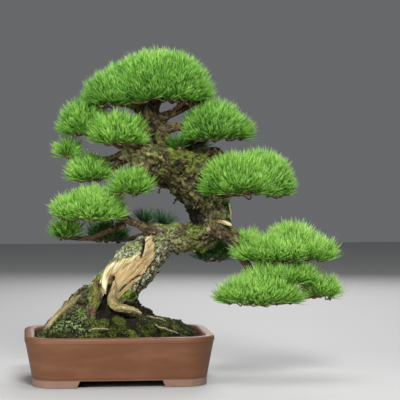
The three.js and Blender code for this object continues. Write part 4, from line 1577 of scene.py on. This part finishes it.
@dataclass
class NeedlePad:
    """A pad of needles: shoots spread through its lobes, their twigs and their needles, in millimetres."""

    name: str
    plan: PadPlan
    seed: int
    spacing: float = 12.0
    needle_length: Point = (32.0, 44.0)
    needle_radius: float = 0.43
    pairs: int = 34
    # Turn from one pair to the next, and between the two needles of a pair.
    pair_turn: Point = (2.39996, 0.16)
    # Length of shoot that the needles stand on.
    brush: float = 10.0
    twig_girth: Point = (4.6, 2.3)
    draw_in: tuple[float, float, float] = (28.0, 28.0, 36.0)
    # Scale of each layer of shoots, its spacing and how much darker its needles are, as painted shade inside
    # the pad.
    layers: tuple[tuple[float, float, float], ...] = ((1.0, 1.0, 0.0), (0.6, 1.5, -0.24))
    rng: np.random.Generator = field(init=False)

    def __post_init__(self) -> None:
        """Seeds the pad's own random draws."""
        self.rng = np.random.default_rng(self.seed)

    def core(self, lobe: Lobe) -> np.ndarray:
        """Half sizes of a lobe, drawn in by a needle's length."""
        return np.array([lobe.half_x, lobe.half_y, lobe.height]) - self.draw_in

    def dome_points(self, lobe: Lobe, share: float) -> tuple[np.ndarray, np.ndarray]:
        """Evenly spread points on a lobe's upper skin, drawn in by a needle's length.

        Args:
            lobe: The lobe.
            share: Scale of the dome, 1 for its outer layer.

        Returns:
            Points in millimetres and outward directions.
        """
        half = np.maximum(self.core(lobe), (8, 8, 5)) * share
        tries = unit(self.rng.normal(size=(2600, 3)))
        tries[:, 2] = np.abs(tries[:, 2]) - 0.1
        area = np.linalg.norm(tries * [half[1] * half[2], half[0] * half[2], half[0] * half[1]], axis=1)
        tries = tries[self.rng.uniform(size=len(tries)) < area / area.max()]
        flat = np.maximum(np.hypot(tries[:, 0], tries[:, 1]), 0.02)
        spread = flat**0.8 / flat
        points = tries * half * np.stack([spread, spread, np.ones_like(spread)], axis=1)
        return points + [lobe.x, lobe.y, lobe.z + 5], unit(tries / half)

    def inside_other(self, points: np.ndarray, lobe: Lobe) -> np.ndarray:
        """Which points lie well inside another lobe of this pad."""
        inside = np.zeros(len(points), dtype=bool)
        for other in self.plan.lobes:
            if other is not lobe:
                apart = (points - [other.x, other.y, other.z]) / np.maximum(self.core(other), 5)
                inside |= np.linalg.norm(apart, axis=1) < 0.9
        return inside

    def shoots(self) -> Shoots:
        """Spreads the shoots through the pad."""
        kept: list[np.ndarray] = []
        axes: list[np.ndarray] = []
        tones: list[float] = []
        for share, apart, shade in self.layers:
            for lobe in self.plan.lobes:
                points, outward = self.dome_points(lobe, share)
                for point, out, skip in zip(points, outward, self.inside_other(points, lobe)):
                    gaps = np.linalg.norm(np.array(kept) - point, axis=1) if kept else np.array([np.inf])
                    if skip or gaps.min() < self.spacing * apart:
                        continue
                    axis = out * 0.75 + [0, 0, 0.7] + self.rng.normal(0, 0.15, 3)
                    axes.append(axis / np.linalg.norm(axis))
                    # painted light: shoots higher in their lobe get a lighter tone
                    high = (point[2] - lobe.z) / lobe.height
                    tones.append(0.56 + 0.10 * high + shade + self.rng.normal(0, 0.08))
                    kept.append(point)
        return Shoots(np.array(kept) * MM + ORIGIN, np.array(axes), np.array(tones) + self.plan.age.value)

    def needles(self, shoots: Shoots) -> tuple[np.ndarray, np.ndarray, np.ndarray]:
        """Grows the paired needles of every shoot.

        Args:
            shoots: The pad's shoots.

        Returns:
            Base, middle and tip of every needle, N by 3 by 3; its radius; its tone.
        """
        count, rng = len(shoots.tips), self.rng
        pairs = count * self.pairs
        total = pairs * 2
        number = np.arange(total)
        shoot, pair_id, twin = number // (self.pairs * 2), number // 2, number % 2
        pair = pair_id % self.pairs
        axis = shoots.axes[shoot]
        helper = np.where(np.abs(axis[:, 2:3]) < 0.9, [[0.0, 0.0, 1.0]], [[1.0, 0.0, 0.0]])
        side = unit(np.cross(axis, helper))
        other = np.cross(axis, side)
        turn = pair * self.pair_turn[0] + rng.uniform(0, 6.28, count)[shoot]
        turn = turn + (twin - 0.5) * self.pair_turn[1]
        depth = (pair + 0.5) / self.pairs
        tilt = 0.06 + 0.82 * depth**0.9 + rng.normal(0, 0.1, pairs)[pair_id]
        radial = side * np.cos(turn)[:, None] + other * np.sin(turn)[:, None]
        heading = axis * np.cos(tilt)[:, None] + radial * np.sin(tilt)[:, None]
        heading[:, 2] = np.maximum(heading[:, 2], rng.uniform(-0.05, 0.3, pairs)[pair_id])
        length = rng.uniform(*self.needle_length, pairs)[pair_id]
        length = length * (1 - 0.12 * depth) * rng.uniform(0.95, 1.05, total) * MM
        base = shoots.tips[shoot] - axis * (depth * self.brush * MM)[:, None]
        bend = (axis * 0.05 + rng.normal(0, 0.014, (total, 3))) * length[:, None]
        tip = base + unit(heading) * length[:, None]
        middle = base * 0.36 + tip * 0.64 - bend * 0.5
        radius = self.needle_radius * MM * rng.uniform(0.85, 1.15, total)
        # painted shade: needles lower on their shoot get a darker tone
        tone = shoots.tone[shoot] - 0.12 * depth + rng.normal(0, 0.13, pairs)[pair_id]
        return np.stack([base, middle, tip], axis=1), radius, np.clip(tone, 0.01, 0.97)

    def needle_object(self, shoots: Shoots) -> Piece:
        """The needles as one mesh of slim three-sided blades, with the map that their finish reads."""
        spine, radius, tone = self.needles(shoots)
        total = len(spine)
        heading = unit(spine[:, 2] - spine[:, 0])
        side = unit(np.cross(heading, self.rng.normal(size=(total, 3))))
        other = np.cross(heading, side)
        rings = []
        for level, share in ((0, 0.8), (1, 1.0)):
            for k in range(3):
                angle = k * 2 * np.pi / 3
                reach = (side * math.cos(angle) + other * math.sin(angle)) * (radius * share)[:, None]
                rings.append(spine[:, level] + reach)
        points = np.stack([*rings, spine[:, 2]], axis=1).reshape(-1, 3)
        blade = np.array([
            [0, 1, 4], [0, 4, 3], [1, 2, 5], [1, 5, 4], [2, 0, 3], [2, 3, 5],
            [3, 4, 6], [4, 5, 6], [5, 3, 6], [0, 2, 1],
        ])
        faces = (np.arange(total)[:, None, None] * 7 + blade[None]).reshape(-1, 3)
        obj = from_arrays(self.name + "_needles", points, faces)
        obj.data.shade_smooth()
        corner_u = np.array([0, 0.004, 0.008, 0, 0.004, 0.008, 0.004])
        corner_v = np.array([0.0, 0.01, 0.0, 0.64, 0.65, 0.64, 1.0])
        u = tone[:, None, None] + corner_u[blade][None]
        v = np.broadcast_to(corner_v[blade][None], u.shape)
        layer = obj.data.uv_layers.new(name=MAP_NAME)
        layer.data.foreach_set("uv", np.stack([u, v], axis=-1).astype(np.float32).ravel())
        return obj

    def twig_object(self, shoots: Shoots) -> Piece:
        """The twigs: each shoot joins the nearest wood that is already there, closest shoots first."""
        wood = np.vstack([planned(run).centre for run in BRANCHES[self.plan.branch]])
        thickest, slimmest = self.twig_girth
        girth, nodes, limbs = [thickest] * len(wood), list(wood), []
        feet = shoots.tips - shoots.axes * self.brush * MM
        order = np.argsort([np.min(np.linalg.norm(wood - foot, axis=1)) for foot in feet])
        for tip, foot in zip(shoots.tips[order], feet[order]):
            cloud = np.array(nodes)
            gap = np.linalg.norm(cloud - foot, axis=1) + 1.2 * np.maximum(cloud[:, 2] - foot[2], 0)
            near = int(np.argmin(gap))
            start = cloud[near]
            middle = start * 0.45 + foot * 0.55
            middle[2] = start[2] * 0.7 + foot[2] * 0.3
            middle += self.rng.normal(0, 0.0015, 3) - [0, 0, 0.0015]
            thick = girth[near] * 0.86
            radii = (thick * MM, thick * 0.85 * MM, thick * 0.75 * MM, 0.9 * MM)
            limbs.append(Limb(np.column_stack([(start, middle, foot, tip), radii]), 2))
            nodes.extend([middle, foot])
            girth.extend([max(thick * 0.88, slimmest), max(thick * 0.78, slimmest)])
        obj = tubes_object(self.name + "_twigs", limbs, 5)
        obj.data.shade_smooth()
        return obj

    def build(self, green: Material, bark: Material) -> int:
        """Makes the pad's needles and twigs, dresses them and gives how many faces the needles have."""
        shoots = self.shoots()
        needles = settle(self.needle_object(shoots), green, "needles", self.name)
        settle(self.twig_object(shoots), bark, "twig_bark")
        return len(needles.data.polygons)


# ---- studio ---------------------------------------------------------------------------------------------


@dataclass(frozen=True)
class Lamp:
    """A soft square lamp: its place and side in metres, and its watts."""

    name: str
    place: tuple[float, float, float]
    size: float
    power: float


@dataclass
class Studio:
    """Floor, lights and camera. The camera's place is in metres from the pot's middle."""

    camera_place: tuple[float, float, float] = (-0.19894, -3.44786, 0.461)
    pitch: float = 0.0216
    turn: float = 0.1092
    lens: float = 144.0
    sensor: float = 36.0
    floor_half: float = 6.0
    floor_drop: float = 0.0005
    lamps: tuple[Lamp, ...] = (
        Lamp("key", (0.1, -2.5, 2.0), 0.8, 91), Lamp("fill", (-2.3, -1.8, 1.1), 1.4, 50),
        Lamp("top", (0.1, 0.2, 2.6), 1.4, 34), Lamp("back", (0.6, 2.6, 1.6), 1.6, 40),
    )
    aim: tuple[float, float, float] = (0, 0, 0.35)
    sky: Colour = (0.80, 0.82, 0.85)
    sky_strength: float = 0.17

    def floor(self) -> None:
        """The plain floor."""
        place = (0, 0, float(ORIGIN[2]) - self.floor_drop)
        obj = primitive("studio_floor", "plane", place, size=2 * self.floor_half)
        with Bench(obj):
            bpy.ops.mesh.subdivide(number_cuts=3)
        obj.data.materials.append(STUDIO_FLOOR.material())

    def stand(self, name: str, data: bpy.types.ID, place: object, turn: object) -> Piece:
        """Puts a lamp or the camera in the scene."""
        obj = bpy.data.objects.new(name, data)
        obj.location, obj.rotation_euler = place, turn
        bpy.context.scene.collection.objects.link(obj)
        return obj

    def build(self) -> None:
        """Sets up the whole studio."""
        self.floor()
        for lamp in self.lamps:
            data = bpy.data.lights.new(lamp.name, "AREA")
            data.size, data.energy = lamp.size, lamp.power
            aim = Vector(self.aim) - Vector(lamp.place)
            self.stand(lamp.name, data, lamp.place, aim.to_track_quat("-Z", "Y").to_euler())
        scene = bpy.context.scene
        scene.world = bpy.data.worlds.new("studio")
        scene.world.use_nodes = True
        background = scene.world.node_tree.nodes["Background"].inputs
        background["Color"].default_value = (*self.sky, 1)
        background["Strength"].default_value = self.sky_strength
        scene.view_settings.view_transform = "Standard"
        data = bpy.data.cameras.new("camera")
        data.lens, data.sensor_width = self.lens, self.sensor
        tilt = (math.pi / 2 - self.pitch, 0, -self.turn)
        scene.camera = self.stand("camera", data, ORIGIN + np.array(self.camera_place), tilt)


# ---- assembly -------------------------------------------------------------------------------------------


def dress_frame(name: str, material: Material) -> None:
    """Gives a CAD node that stays in view its finish."""
    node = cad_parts[name]
    for slot in node.material_slots:
        slot.link = "OBJECT"
        slot.material = material


def main() -> None:
    """Builds the plant piece by piece, then the studio."""
    logging.basicConfig(level=logging.INFO, format="%(name)s: %(message)s")
    pot = Pot()
    pot.build(ClayFinish().material())
    bed = [Ground(pot).build(SoilFinish().material())]
    moss = MossFinish().material()
    bed += [MossCushion(name, lobe).build(moss) for name, lobe in MOSS.items()]
    Litter().build(bed, LITTER.material())
    pale = PALE_ROOT.material()
    for name, run in STRAY_ROOTS.items():
        StrayRoot(name, run).build(pale)
    plastic, wire = SCREEN_PLASTIC.material(), WIRE.material()
    for side in ("left", "right"):
        dress_frame(f"drain_screen_{side}", plastic)
        dress_frame(f"screen_clip_{side}", wire)
    wood = BarkFinish().material()
    Trunk().build(wood)
    for name, runs in BRANCHES.items():
        Branch(name, runs).build(wood)
    bark = TWIG_BARK.material()
    green = NeedleFinish().material()
    pads = [NeedlePad(name, plan, seed) for seed, (name, plan) in enumerate(PADS.items())]
    faces = sum(pad.build(green, bark) for pad in pads)
    LOG.info("needles in all: %d faces", faces)
    Studio().build()


if __name__ == "__main__":
    main()
